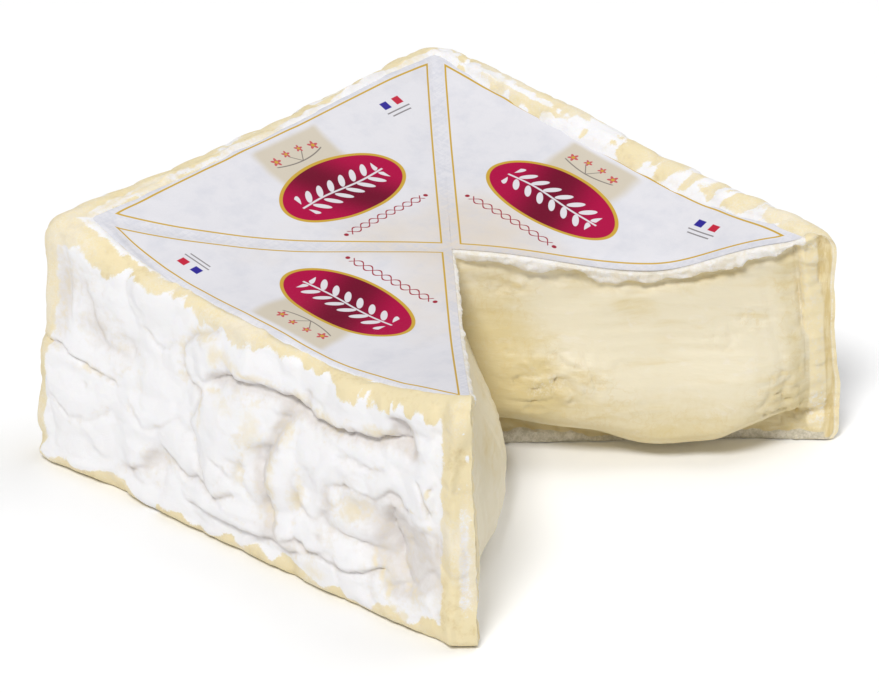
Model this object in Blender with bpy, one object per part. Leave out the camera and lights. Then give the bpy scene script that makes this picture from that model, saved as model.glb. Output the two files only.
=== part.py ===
"""Triple cream cheese: a square soft-ripened block, cut along its diagonals.

Three of its four quarters are left. A thin paper label lies on top of them, cut
flush with the cut faces. Metres, +Z up. The square's sides run along X and Y, the
open quarter faces -Y, and the origin is under the middle of the bounding box.
"""

import math

import bmesh
import bpy
import numpy as np
from mathutils import Matrix

MM = 0.001

# Driving dimensions
SIDE = 158.0 * MM
CENTRE_HEIGHT = 64.0 * MM
FOOT_RADIUS = 3.5 * MM
LEAN_FROM = 8.0 * MM
LEAN_TO = 66.0 * MM
LEFT_CORNER_SWELL = 3.2 * MM
LEFT_STEP_HEIGHT = 38.0 * MM
TIP_SPREAD = 1.6 * MM
LABEL_INSET = 7.6 * MM
LABEL_THICKNESS = 0.4 * MM
LABEL_GAP = 0.35 * MM
CENTRE_PLACE = (1.4 * MM, -2.6 * MM, 0.0)

# Upright corners: right, back, left and front
CORNER_RADII = np.array((10.8, 10.8, 4.5, 10.8)) * MM

HALF = SIDE / 2
QUARTERS_LEFT = 3
START_ANGLE = math.radians(-45.0)
SWEEP_ANGLE = math.radians(90.0 * QUARTERS_LEFT)

# How finely the block is divided, round it, from the middle outwards and upwards
STEPS_BY_QUARTER = (24, 24, 48)
STEPS = sum(STEPS_BY_QUARTER)
LABEL_COLUMNS = 11
COLUMNS = LABEL_COLUMNS + 1
FOOT_ROWS = 3
WALL_ROWS = 15
RIM_ROWS = 4
ROWS = FOOT_ROWS + WALL_ROWS + RIM_ROWS
COLUMN_SPREAD = 1.2
CORNER_CROWDING = 0.3
INNER_CORNER_RADIUS = 1.5 * MM

# Knots by quarter turns from the right corner: 1 is the back corner, 2 the left
# one and 3 the front one. Values in millimetres.
LABEL_EDGE_RISE = (
    (0.0, -0.2), (0.27, 1.4), (0.49, 2.5), (0.63, 4.2), (0.83, 6.7), (1.0, 9.8),
    (1.5, 10.2), (1.9, 10.0), (2.0, 9.5), (2.08, 5.5), (2.14, 3.5), (2.2, 2.0),
    (2.3, 1.0), (2.45, 0.9), (2.65, -1.2), (2.8, 1.0), (2.9, 3.0), (3.0, 5.0),
)
RIM_HEIGHT = (
    (0.0, 65.5), (0.1, 67.4), (0.27, 68.9), (0.49, 70.2), (0.63, 72.5), (0.83, 75.0),
    (1.0, 76.3), (1.5, 75.4), (1.85, 75.9), (2.0, 75.0), (2.06, 73.4), (2.14, 70.2), (2.22, 69.3),
    (2.34, 68.9), (2.44, 69.4), (2.53, 67.6), (2.62, 66.6), (2.74, 66.2),
    (2.82, 67.6), (2.91, 70.0), (3.0, 73.4),
)
WALL_LEAN = (
    (0.0, 3.2), (1.0, 3.2), (2.0, 3.2), (2.2, 4.4), (2.5, 5.0), (2.8, 4.2), (3.0, 2.4),
)
RIM_RADIUS = (
    (0.0, 5.2), (0.9, 5.4), (1.1, 6.6), (1.9, 6.6), (2.05, 5.4), (3.0, 5.2),
)

# Along a cut face from the middle of the block, in millimetres
RIGHT_CUT_REACH = (
    (0.0, 9.0), (10.0, 12.5), (30.0, 14.5), (60.0, 15.0), (84.0, 14.0),
    (95.0, 8.5), (103.0, 2.5), (109.0, 0.3), (114.0, 0.0),
)
FRONT_CUT_REACH = (
    (0.0, 9.0), (14.0, 12.0), (45.0, 12.0), (62.0, 8.8), (78.0, 4.8),
    (90.0, 2.6), (103.0, 0.8), (109.0, 0.2), (114.0, 0.0),
)
RIGHT_CUT_FOOT = (
    (0.0, 10.0), (10.0, 10.0), (20.0, 8.0), (35.0, 6.0), (48.0, 2.0),
    (60.0, 1.8), (70.0, 3.0), (80.0, 6.5), (90.0, 9.0), (114.0, 11.0),
)
FRONT_CUT_FOOT = (
    (0.0, 10.0), (18.0, 8.0), (36.0, 4.0), (55.0, 3.0), (76.0, 6.0), (114.0, 10.0),
)
# Share of the reach by share of the height between the paste's foot and its top
PASTE_PROFILE = (
    (0.0, 0.0), (0.05, 0.6), (0.12, 0.92), (0.22, 1.0), (0.36, 0.9), (0.55, 0.52),
    (0.75, 0.14), (0.9, -0.06), (1.0, 0.0),
)
PASTE_TOP = 57.0 * MM
CUT_LENGTH = 112.0 * MM

# Where the top has sunk: middle along the cut, spreads to each side and inwards,
# depth, in millimetres
RIGHT_CUT_SAG = (56.0, 26.0, 17.0, 22.0, 8.0)
RIGHT_EDGE_SAG = (56.0, 28.0, 22.0, 3.5, 1.4)
FRONT_CUT_SAG = (50.0, 25.0, 20.0, 18.0, 2.5)
# A shallow hollow in the left quarter: its place, spreads and depth
LEFT_HOLLOW = (-42.0, 0.0, 15.0, 24.0, 2.0)

# Relief of the left-hand wall: along the wall from the left corner, height, spread
# along, spread up, height of the relief, in millimetres
WALL_RELIEF = (
    (73.0, 33.0, 12.0, 15.0, 2.4),
    (92.0, 33.0, 5.0, 13.0, 1.3),
    (90.0, 30.0, 2.4, 11.0, -1.6),
    (104.0, 29.0, 6.0, 7.0, 1.0),
    (136.0, 22.0, 8.0, 8.0, -2.4),
    (122.0, 51.0, 15.0, 2.6, -1.8),
    (136.0, 57.0, 4.5, 3.5, -1.8),
    (84.0, 52.5, 16.0, 2.2, -1.5),
    (76.0, 57.5, 11.0, 2.6, 1.2),
    (120.0, 31.0, 6.0, 4.0, -1.1),
    (113.0, 58.0, 16.0, 4.0, 1.2),
    (47.0, 17.0, 5.0, 6.0, -1.4),
    (15.0, 38.0, 14.0, 1.8, -1.0),
    (6.0, 56.0, 3.5, 10.0, -1.2),
    (24.0, 50.0, 7.0, 6.0, -0.8),
    (62.0, 53.0, 3.5, 7.0, 0.9),
)
WALL_WAVE = 0.45 * MM
WALL_WAVE_LENGTH = 17.0 * MM
RIM_GROOVE = 0.5 * MM
RIM_GROOVE_SPACING = 13.0 * MM


def follow(knots, at):
    """Values of a smooth line through the knots, at the given positions."""
    positions = np.array([knot[0] for knot in knots])
    values = np.array([knot[1] for knot in knots])
    slopes = np.gradient(values, positions)
    at = np.clip(at, positions[0], positions[-1])
    index = np.clip(np.searchsorted(positions, at, side="right") - 1, 0, len(knots) - 2)
    width = positions[index + 1] - positions[index]
    share = (at - positions[index]) / width
    near = values[index] * (1.0 + 2.0 * share) * (1.0 - share) ** 2
    near = near + slopes[index] * width * share * (1.0 - share) ** 2
    far = values[index + 1] * share ** 2 * (3.0 - 2.0 * share)
    far = far - slopes[index + 1] * width * share ** 2 * (1.0 - share)
    return near + far


def ease(low, high, at):
    """0 below low, 1 above high and a smooth step between them."""
    share = np.clip((at - low) / (high - low), 0.0, 1.0)
    return share * share * (3.0 - 2.0 * share)


def bell(offset, spread):
    return np.exp(-0.5 * (offset / spread) ** 2)


def outline(turn, inset):
    """Plan position on the rounded square at a number of quarter turns and an inset."""
    quarter = np.minimum(np.floor(turn), QUARTERS_LEFT - 1).astype(int)
    share = turn - quarter
    half = np.maximum(HALF - inset, 0.0)
    first = np.minimum(np.maximum(CORNER_RADII[quarter] - inset, INNER_CORNER_RADIUS), half)
    last = np.minimum(np.maximum(CORNER_RADII[quarter + 1] - inset, INNER_CORNER_RADIUS), half)
    straight = 2.0 * half - first - last
    run = share * (straight + (first + last) * math.pi / 4)
    into_first = np.minimum(run, first * math.pi / 4)
    along = np.clip(run - into_first, 0.0, straight)
    into_last = np.maximum(run - into_first - along, 0.0)
    angle = into_first / np.maximum(first, 1e-9) - math.pi / 4
    angle = angle + into_last / np.maximum(last, 1e-9)
    radius = np.where(into_last > 0.0, last, first)
    outwards = half - radius + radius * np.cos(angle)
    sideways = along + first - half + radius * np.sin(angle)
    turned = quarter * math.pi / 2
    x = outwards * np.cos(turned) - sideways * np.sin(turned)
    y = outwards * np.sin(turned) + sideways * np.cos(turned)
    return x, y


def column_inset(column):
    """Inset of the columns inside the label's edge, down to the middle of the block."""
    share = 1.0 - np.minimum(column, LABEL_COLUMNS) / LABEL_COLUMNS
    return LABEL_INSET + (HALF - LABEL_INSET) * share ** COLUMN_SPREAD


def sunk(run, depth, sag):
    """How far the top has sunk near a cut, along it and away from it."""
    middle, near, far, inwards, most = (value * MM for value in sag)
    along = np.where(run < middle, bell(run - middle, near), bell(run - middle, far))
    return most * along * bell(depth, inwards)


def top_height(turn, inset, x, y):
    """Height of the cheese's top, with its raised rim and the hollow at the cut."""
    outwards = np.clip((HALF - inset) / (HALF - 11.4 * MM), 0.0, 1.0)
    inner = CENTRE_HEIGHT + follow(LABEL_EDGE_RISE, turn) * MM * outwards ** 3
    rim = follow(RIM_HEIGHT, turn) * MM
    near_rim = ease(-13.0 * MM, -5.8 * MM, -inset)
    height = inner * (1.0 - near_rim) + rim * near_rim
    right_run = (x - y) / math.sqrt(2.0)
    right_depth = (x + y) / math.sqrt(2.0)
    height = height - sunk(right_run, right_depth, RIGHT_CUT_SAG)
    height = height - sunk(right_run, right_depth, RIGHT_EDGE_SAG)
    height = height - sunk(-right_depth, right_run, FRONT_CUT_SAG)
    across, along, wide, long, deep = (value * MM for value in LEFT_HOLLOW)
    return height - deep * bell(x - across, wide) * bell(y - along, long)


def wall_relief(turn, height):
    """How far the rind stands out of the plain wall."""
    run = turn * SIDE
    wave = np.sin(run / WALL_WAVE_LENGTH + 0.9 * np.sin(height / (21.0 * MM)))
    relief = WALL_WAVE * wave
    back = ease(0.02, 0.12, turn) * (1.0 - ease(1.9, 2.0, turn))
    groove = np.cos(run * 2.0 * math.pi / RIM_GROOVE_SPACING)
    relief = relief + RIM_GROOVE * back * groove * ease(0.045, 0.062, height)
    left_run = run - 2.0 * SIDE
    for along, middle, spread, rise, most in WALL_RELIEF:
        shape = bell(left_run - along * MM, spread * MM) * bell(height - middle * MM, rise * MM)
        relief = relief + most * MM * shape * ease(1.96, 2.02, turn)
    return relief


def wall_point(row, turn):
    """Inset and height of a row of the wall, over the foot and the rim."""
    rim = follow(RIM_RADIUS, turn) * MM
    x, y = outline(turn, rim)
    top = top_height(turn, rim, x, y)
    foot_angle = np.clip(row / FOOT_ROWS, 0.0, 1.0) * math.pi / 2
    rim_angle = np.clip((row - FOOT_ROWS - WALL_ROWS) / RIM_ROWS, 0.0, 1.0) * math.pi / 2
    share = np.clip((row - FOOT_ROWS) / WALL_ROWS, 0.0, 1.0)
    height = FOOT_RADIUS * (1.0 - np.cos(foot_angle))
    height = height + share * (top - rim - FOOT_RADIUS) + rim * np.sin(rim_angle)
    inset = FOOT_RADIUS * (1.0 - np.sin(foot_angle)) + rim * (1.0 - np.cos(rim_angle))
    lean = follow(WALL_LEAN, turn) * MM
    inset = inset - lean * (1.0 - ease(LEAN_FROM, LEAN_TO, height))
    below_step = 0.8 + 0.2 * (1.0 - ease(-0.5 * MM, 0.5 * MM, height - LEFT_STEP_HEIGHT))
    inset = inset - LEFT_CORNER_SWELL * bell(turn - 2.0, 0.09) * below_step
    inset = inset - wall_relief(turn, height) * ease(-0.5, 0.6, np.cos(rim_angle))
    return inset, height, height / top


def paste_bulge(run, height, reach, foot):
    """How far the soft paste stands out of a cut face."""
    base = follow(foot, run / MM) * MM
    share = np.clip((height - base) / (PASTE_TOP - base), 0.0, 1.0)
    bulge = follow(reach, run / MM) * MM * follow(PASTE_PROFILE, share)
    at_tip = ease(80.0 * MM, 105.0 * MM, run) * (1.0 - ease(0.0, PASTE_TOP, height))
    return bulge + TIP_SPREAD * at_tip


def push_cut(x, y, height, turn, column):
    """Pushes the vertices of the two cut faces out into the open quarter."""
    middle = column < 0.5
    cuts = (
        ((turn < 1e-4) | middle, (1.0, -1.0), (-1.0, -1.0), RIGHT_CUT_REACH, RIGHT_CUT_FOOT),
        ((turn > QUARTERS_LEFT - 1e-4) & ~middle, (-1.0, -1.0), (1.0, -1.0), FRONT_CUT_REACH, FRONT_CUT_FOOT),
    )
    for on_cut, along, outwards, reach, foot in cuts:
        run = (x * along[0] + y * along[1]) / math.sqrt(2.0)
        push = paste_bulge(run, height, reach, foot) / math.sqrt(2.0)
        shift = push * np.clip(1.0 - run / CUT_LENGTH, 0.0, 1.0)
        x = np.where(on_cut, x + push * outwards[0] + shift * along[0], x)
        y = np.where(on_cut, y + push * outwards[1] + shift * along[1], y)
    return x, y


def swept_grid(columns, rows):
    """A sheet of quads spun three quarters of a turn into a closed block.

    Returns its bmesh and each vertex's turn, column and row.
    """
    block = bmesh.new()
    stand = Matrix.Rotation(math.pi / 2, 4, "X") @ Matrix.Translation((0.5, 0.5, 0.0))
    first = Matrix.Rotation(START_ANGLE, 4, "Z") @ stand
    bmesh.ops.create_grid(block, x_segments=columns, y_segments=rows, size=0.5, matrix=first)
    bmesh.ops.spin(
        block,
        geom=block.verts[:] + block.edges[:] + block.faces[:],
        cent=(0.0, 0.0, 0.0),
        axis=(0.0, 0.0, 1.0),
        angle=SWEEP_ANGLE,
        steps=STEPS,
        use_duplicate=False,
    )
    bmesh.ops.remove_doubles(block, verts=block.verts, dist=1e-5)
    bmesh.ops.recalc_face_normals(block, faces=block.faces)
    block.verts.ensure_lookup_table()
    where = np.array([vertex.co[:] for vertex in block.verts])
    column = np.rint(np.hypot(where[:, 0], where[:, 1]) * columns)
    row = np.rint(where[:, 2] * rows)
    angle = np.arctan2(where[:, 1], where[:, 0]) - START_ANGLE
    angle = np.where(angle < -1e-3, angle + 2.0 * math.pi, angle)
    step = np.clip(np.rint(angle / SWEEP_ANGLE * STEPS), 0, STEPS)
    edges = np.concatenate(([0], np.cumsum(STEPS_BY_QUARTER)))
    quarter = np.clip(np.searchsorted(edges, step, side="right") - 1, 0, QUARTERS_LEFT - 1)
    share = (step - edges[quarter]) / np.array(STEPS_BY_QUARTER)[quarter]
    share = share - CORNER_CROWDING * np.sin(2.0 * math.pi * share) / (2.0 * math.pi)
    turn = np.where(column < 0.5, 0.5 * QUARTERS_LEFT, quarter + share)
    return block, turn, column, row


def shape_vertices(block, x, y, z):
    for vertex, place in zip(block.verts, zip(x, y, z)):
        vertex.co = place


def finish_object(name, block, collection, base, material):
    bmesh.ops.triangulate(block, faces=block.faces, quad_method="SHORT_EDGE")
    mesh = bpy.data.meshes.new(name)
    block.to_mesh(mesh)
    block.free()
    mesh.shade_smooth()
    mesh.set_sharp_from_angle(angle=math.radians(40.0))
    mesh.materials.append(material)
    item = bpy.data.objects.new(name, mesh)
    collection.objects.link(item)
    item.parent = base
    return item


def plain_material(name, colour, roughness):
    material = bpy.data.materials.new(name)
    material.use_nodes = True
    shader = material.node_tree.nodes["Principled BSDF"]
    shader.inputs["Base Color"].default_value = (*colour, 1.0)
    shader.inputs["Roughness"].default_value = roughness
    shader.inputs["Metallic"].default_value = 0.0
    return material


def make_cheese(collection, base):
    """Rind and paste in one body: rows of vertices up the walls and the cut faces."""
    block, turn, column, row = swept_grid(COLUMNS, ROWS)
    wall_inset, wall_height, share_up = wall_point(row, turn)
    on_wall = column > LABEL_COLUMNS + 0.5
    inset = np.where(on_wall, wall_inset, column_inset(column))
    x, y = outline(turn, inset)
    height = share_up * top_height(turn, inset, x, y)
    height = np.where(on_wall, wall_height, height)
    x, y = push_cut(x, y, height, turn, column)
    shape_vertices(block, x, y, height)
    underside = [face for face in block.faces if max(vertex.co.z for vertex in face.verts) < 1e-6]
    bmesh.ops.dissolve_faces(block, faces=underside, use_verts=False)
    rind = plain_material("rind", (0.90, 0.87, 0.78), 0.75)
    return finish_object("cheese", block, collection, base, rind)


def make_label(collection, base):
    """The paper: it follows the cheese's top at a small gap, inside the rim."""
    block, turn, column, row = swept_grid(LABEL_COLUMNS, 1)
    inset = column_inset(column)
    x, y = outline(turn, inset)
    height = top_height(turn, inset, x, y) + LABEL_GAP + LABEL_THICKNESS * row
    shape_vertices(block, x, y, height)
    paper = plain_material("label", (0.80, 0.78, 0.80), 0.45)
    return finish_object("label", block, collection, base, paper)


def clear_scene():
    for item in list(bpy.data.objects):
        bpy.data.objects.remove(item, do_unlink=True)


def main():
    clear_scene()
    collection = bpy.data.collections.new("triple_cream_cheese")
    bpy.context.scene.collection.children.link(collection)
    base = bpy.data.objects.new("block_centre", None)
    base.location = CENTRE_PLACE
    collection.objects.link(base)
    make_cheese(collection, base)
    make_label(collection, base)


main()
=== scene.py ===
import math

import bpy
import numpy as np
from bpy.props import FloatProperty, FloatVectorProperty, PointerProperty
from mathutils import Matrix


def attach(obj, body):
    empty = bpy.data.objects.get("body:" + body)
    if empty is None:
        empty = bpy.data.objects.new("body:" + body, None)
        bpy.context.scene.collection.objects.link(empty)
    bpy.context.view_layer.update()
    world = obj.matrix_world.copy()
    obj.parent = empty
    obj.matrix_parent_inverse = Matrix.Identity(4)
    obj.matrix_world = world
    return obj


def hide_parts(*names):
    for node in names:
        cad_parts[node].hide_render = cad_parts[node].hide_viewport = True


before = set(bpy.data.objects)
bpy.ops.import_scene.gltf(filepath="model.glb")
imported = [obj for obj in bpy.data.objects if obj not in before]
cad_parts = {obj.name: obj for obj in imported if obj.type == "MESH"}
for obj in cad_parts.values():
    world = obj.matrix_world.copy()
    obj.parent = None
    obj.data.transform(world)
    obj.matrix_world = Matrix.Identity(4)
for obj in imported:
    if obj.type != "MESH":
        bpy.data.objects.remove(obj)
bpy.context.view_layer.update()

bl_info = {
    "name": "Triple cream cheese",
    "version": (1, 0, 0),
    "blender": (4, 5, 0),
    "location": "3D View > Sidebar > Cheese",
    "description": "A cut block of soft cheese with a paper label, and a plain studio for it",
    "category": "Add Mesh",
}

MM = 0.001

# The middle of the block in the frame, in millimetres
CENTRE_PLACE = np.array((1.4, -2.6, 0.0))
QUARTERS_LEFT = 3
START_ANGLE = math.radians(-45.0)
SWEEP_ANGLE = math.radians(90.0 * QUARTERS_LEFT)
DIAGONAL = math.sqrt(2.0)

# How finely the block is divided, round it, from the middle outwards and upwards
BLOCK_STEPS = (110, 90, 250)
PAPER_COLUMNS = 136
EDGE_COLUMNS = 4
PAPER_STEPS = (90, 90, 130)
PAPER_SHEET_COLUMNS = 84
FOOT_ROWS = 5
WALL_ROWS = 90
RIM_ROWS = 12
COLUMN_SPREAD = 1.2
CORNER_CROWDING = 0.3
INNER_CORNER_RADIUS = 1.5
# Triangles kept under the label and on the underside
HIDDEN_FACES = 4000

# Knots by quarter turns from the right corner: 1 is the back corner, 2 the left
# one and 3 the front one. Lengths here and below are in millimetres.
LABEL_EDGE_RISE = (
    (0.0, -0.2), (0.27, 1.4), (0.49, 2.5), (0.63, 4.2), (0.83, 6.7), (1.0, 9.8),
    (1.5, 10.2), (1.9, 10.0), (2.0, 9.5), (2.08, 5.5), (2.14, 3.3), (2.2, 1.6),
    (2.3, 0.3), (2.45, -0.5), (2.65, -2.0), (2.8, 0.0), (2.9, 2.4), (3.0, 4.8),
)
RIM_HEIGHT = (
    (0.0, 65.5), (0.1, 67.4), (0.27, 68.9), (0.49, 70.2), (0.63, 72.5), (0.83, 75.0),
    (1.0, 76.3), (1.5, 75.4), (1.85, 75.9), (2.0, 75.0), (2.06, 73.4), (2.14, 70.2),
    (2.22, 69.2), (2.34, 68.4), (2.44, 67.9), (2.53, 66.8), (2.62, 66.2), (2.74, 66.0),
    (2.82, 67.4), (2.91, 70.0), (3.0, 73.4),
)
WALL_LEAN = (
    (0.0, 3.2), (1.0, 3.2), (2.0, 3.2), (2.2, 4.4), (2.5, 5.0), (2.8, 4.2), (3.0, 2.4),
)
RIM_RADIUS = (
    (0.0, 5.2), (0.9, 5.4), (1.1, 6.6), (1.9, 6.6), (2.05, 5.2), (2.2, 4.2), (2.85, 4.2), (3.0, 5.2),
)
CORNER_RADII = np.array((10.8, 10.8, 4.5, 10.8))
FOOT_RADIUS = 3.5
LEAN_FROM = 8.0
LEAN_TO = 66.0
LEFT_CORNER_SWELL = 3.2
LEFT_STEP_HEIGHT = 38.0
TIP_SPREAD = 1.6
LABEL_EDGE_LINE = 11.4
JOINT_SPACING = 13.0
RIM_FOOT = ((0.0, 13.0), (1.9, 13.0), (2.06, 12.0), (2.16, 9.6), (2.9, 9.6), (3.0, 11.0))
RIM_CREST = ((0.0, 5.8), (1.9, 5.8), (2.1, 5.0), (2.25, 4.4), (2.85, 4.4), (3.0, 5.6))
# How much further in than the label's inset the paper ends
PAPER_SETBACK = (
    (0.0, 1.2), (0.06, 1.6), (0.94, 1.7), (1.0, 1.0), (1.06, 0.8), (1.94, 0.8), (2.0, 0.2), (2.06, -0.9), (2.2, -0.9), (2.34, 0.2),
    (2.5, 0.9), (2.9, 1.0),
    (3.0, 0.4),
)

# Along a cut face from the middle of the block
RIGHT_CUT_REACH = (
    (0.0, 9.0), (10.0, 12.5), (30.0, 14.5), (60.0, 15.0), (84.0, 14.0),
    (95.0, 8.5), (103.0, 2.5), (109.0, 0.3), (114.0, 0.0),
)
FRONT_CUT_REACH = (
    (0.0, 9.0), (14.0, 12.0), (45.0, 12.0), (62.0, 8.8), (78.0, 4.8),
    (90.0, 2.6), (103.0, 0.8), (109.0, 0.2), (114.0, 0.0),
)
RIGHT_CUT_FOOT = (
    (0.0, 10.0), (10.0, 10.0), (20.0, 8.0), (35.0, 6.0), (48.0, 2.0),
    (60.0, 1.8), (70.0, 3.0), (80.0, 6.5), (90.0, 9.0), (114.0, 11.0),
)
FRONT_CUT_FOOT = (
    (0.0, 10.0), (18.0, 8.0), (36.0, 4.0), (55.0, 3.0), (76.0, 6.0), (114.0, 10.0),
)
PASTE_PROFILE = (
    (0.0, 0.0), (0.05, 0.6), (0.12, 0.92), (0.22, 1.0), (0.36, 0.9), (0.55, 0.52),
    (0.75, 0.14), (0.9, -0.06), (1.0, 0.0),
)
PASTE_TOP = 57.0
CUT_LENGTH = 112.0
# Lowest height of the olive-yellow cream under the rind, along the right cut
CREAMLINE = (
    (0.0, 56.0), (18.0, 56.5), (28.0, 53.0), (36.0, 50.5), (46.0, 48.0), (60.0, 46.5),
    (75.0, 48.0), (84.0, 52.0), (90.0, 56.0), (100.0, 59.0), (114.0, 61.0),
)
# Thickness of the white rind under the label's cut edge, along the cut
RIND_SKIN = (
    (0.0, 2.2), (10.0, 2.8), (24.0, 4.0), (34.0, 2.8), (44.0, 4.0), (58.0, 3.2),
    (70.0, 3.8), (82.0, 3.6), (92.0, 2.6), (101.0, 2.2), (114.0, 2.2),
)

# Where the top has sunk: middle along the cut, spreads to each side and inwards, depth
RIGHT_CUT_SAG = (56.0, 26.0, 17.0, 22.0, 8.0)
RIGHT_EDGE_SAG = (56.0, 28.0, 22.0, 3.5, 1.4)
FRONT_CUT_SAG = (50.0, 25.0, 20.0, 18.0, 2.5)
LEFT_HOLLOW = (-42.0, 0.0, 15.0, 24.0, 2.0)

# Relief of the left-hand wall. Places run along the wall from the left corner, then up.
# Soft forms: along, height, spread along, spread up, how far it stands out
LEFT_FORMS = (
    (73.0, 33.0, 11.0, 15.0, 2.2), (92.0, 33.0, 4.0, 13.0, 1.3), (104.0, 29.5, 6.0, 7.5, 1.0),
    (136.0, 22.0, 7.5, 7.5, -3.2), (76.0, 58.0, 11.0, 3.0, 0.9), (120.0, 31.0, 5.5, 3.0, -1.1),
    (132.0, 38.0, 2.5, 2.5, -0.9), (113.0, 59.0, 17.0, 4.5, 1.0), (136.0, 57.5, 3.6, 3.2, -2.0),
    (46.5, 16.5, 3.2, 5.0, -1.4), (6.0, 56.0, 3.2, 11.0, -1.1), (24.0, 50.0, 6.0, 5.0, -0.6),
    (62.0, 53.0, 3.5, 7.0, 0.6), (32.0, 46.0, 2.6, 2.6, -0.9), (18.0, 24.0, 9.0, 9.0, 0.6),
    (45.0, 40.0, 8.0, 10.0, 0.6), (38.0, 62.0, 10.0, 4.0, 0.5), (112.0, 42.0, 10.0, 5.0, 0.9),
    (142.0, 40.0, 6.0, 7.0, 0.8), (60.0, 28.0, 4.0, 8.0, -0.8), (103.0, 29.5, 2.6, 4.5, -0.9),
    (149.0, 36.0, 2.0, 26.0, -0.7), (152.4, 34.0, 1.3, 60.0, 0.8), (128.0, 14.0, 10.0, 2.5, 0.6), (84.0, 12.0, 20.0, 2.4, 0.6),
)
# Folds: depth, width, height and width of the lip on their upper side, points
LEFT_FOLDS = (
    (0.8, 0.6, 0.5, 1.6, ((0.0, 38.5), (6.0, 39.0), (14.0, 37.0), (21.0, 35.6), (28.0, 35.0))),
    (0.7, 1.8, 0.3, 3.0, ((15.0, 60.0), (18.0, 52.0), (22.0, 44.0), (30.0, 42.0))),
    (0.9, 0.9, 0.5, 1.6, ((33.0, 9.5), (38.0, 11.0), (42.0, 13.0), (43.0, 17.0))),
    (0.8, 0.8, 0.4, 1.6, ((66.0, 63.5), (58.0, 60.0), (53.0, 52.0), (54.0, 46.0), (61.0, 45.0))),
    (1.6, 1.1, 1.1, 2.2, ((66.0, 50.0), (72.0, 52.5), (80.0, 53.5), (88.0, 53.0), (96.0, 52.0), (101.0, 51.5))),
    (2.1, 1.2, 0.0, 1.0, ((95.0, 52.0), (92.0, 44.0), (90.0, 39.0), (86.0, 34.0), (86.0, 28.0), (88.0, 20.0), (90.0, 12.0))),
    (0.9, 0.8, 0.0, 1.0, ((100.5, 58.0), (100.5, 50.0))),
    (2.0, 1.2, 1.3, 2.6, ((104.0, 50.0), (112.0, 50.0), (120.0, 52.0), (130.0, 54.0), (139.0, 55.0))),
    (1.4, 1.0, 0.4, 1.6, ((132.0, 61.0), (137.0, 59.0), (139.5, 54.0))),
    (1.2, 0.8, 0.4, 1.6, ((131.0, 33.0), (131.5, 28.0), (135.0, 20.0), (138.0, 13.5))),
    (1.3, 1.0, 0.0, 1.6, ((131.0, 10.0), (138.0, 12.5), (146.5, 18.5))),
    (0.8, 0.6, 0.3, 1.4, ((141.0, 46.0), (143.0, 41.0), (146.0, 38.0))),
    (0.9, 0.8, 0.5, 1.6, ((50.0, 20.0), (53.0, 18.0), (57.0, 16.0), (63.0, 19.0), (69.0, 15.0), (76.0, 18.0))),
    (0.9, 0.8, 0.5, 1.6, ((60.0, 10.0), (66.0, 9.5), (78.0, 8.0), (90.0, 9.0), (98.0, 9.0))),
    (0.9, 0.8, 0.6, 1.6, ((95.0, 12.0), (100.0, 13.0), (102.0, 10.5), (112.0, 12.0), (120.0, 11.0), (130.0, 14.0))),
    (0.7, 0.8, 0.4, 1.6, ((97.0, 33.0), (99.0, 24.0), (105.0, 21.5), (109.0, 26.0), (109.0, 33.0))),
    (0.6, 0.8, 0.3, 1.6, ((112.0, 34.0), (118.0, 36.5), (126.0, 35.0), (131.0, 39.0), (135.0, 36.0))),
    (0.6, 0.7, 0.3, 1.4, ((62.0, 44.0), (60.0, 36.0), (61.0, 26.0), (66.0, 20.0))),
    (0.5, 0.7, 0.3, 1.4, ((36.0, 30.0), (41.0, 26.0), (48.0, 28.0), (54.0, 33.0))),
    (0.5, 0.7, 0.3, 1.4, ((9.0, 22.0), (15.0, 18.0), (22.0, 20.0), (27.0, 26.0))),
    (0.5, 0.7, 0.3, 1.4, ((70.0, 27.0), (76.0, 24.0), (80.0, 29.0), (78.0, 38.0))),
    (0.5, 0.6, 0.3, 1.2, ((113.0, 44.0), (121.0, 43.0), (128.0, 45.0))),
    (0.5, 0.6, 0.3, 1.2, ((38.0, 54.0), (45.0, 51.0), (50.0, 55.0))),
)
# Small pits: along, height, radius, depth
LEFT_PITS = (
    (145.5, 45.0, 0.9, 0.9), (137.0, 35.5, 0.8, 0.8), (116.0, 35.5, 0.7, 0.7), (107.0, 18.0, 0.8, 0.7),
    (143.0, 30.0, 0.6, 0.5), (126.0, 63.0, 0.7, 0.5), (19.0, 30.0, 0.7, 0.5), (29.0, 2.5, 2.0, 1.6),
)
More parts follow.
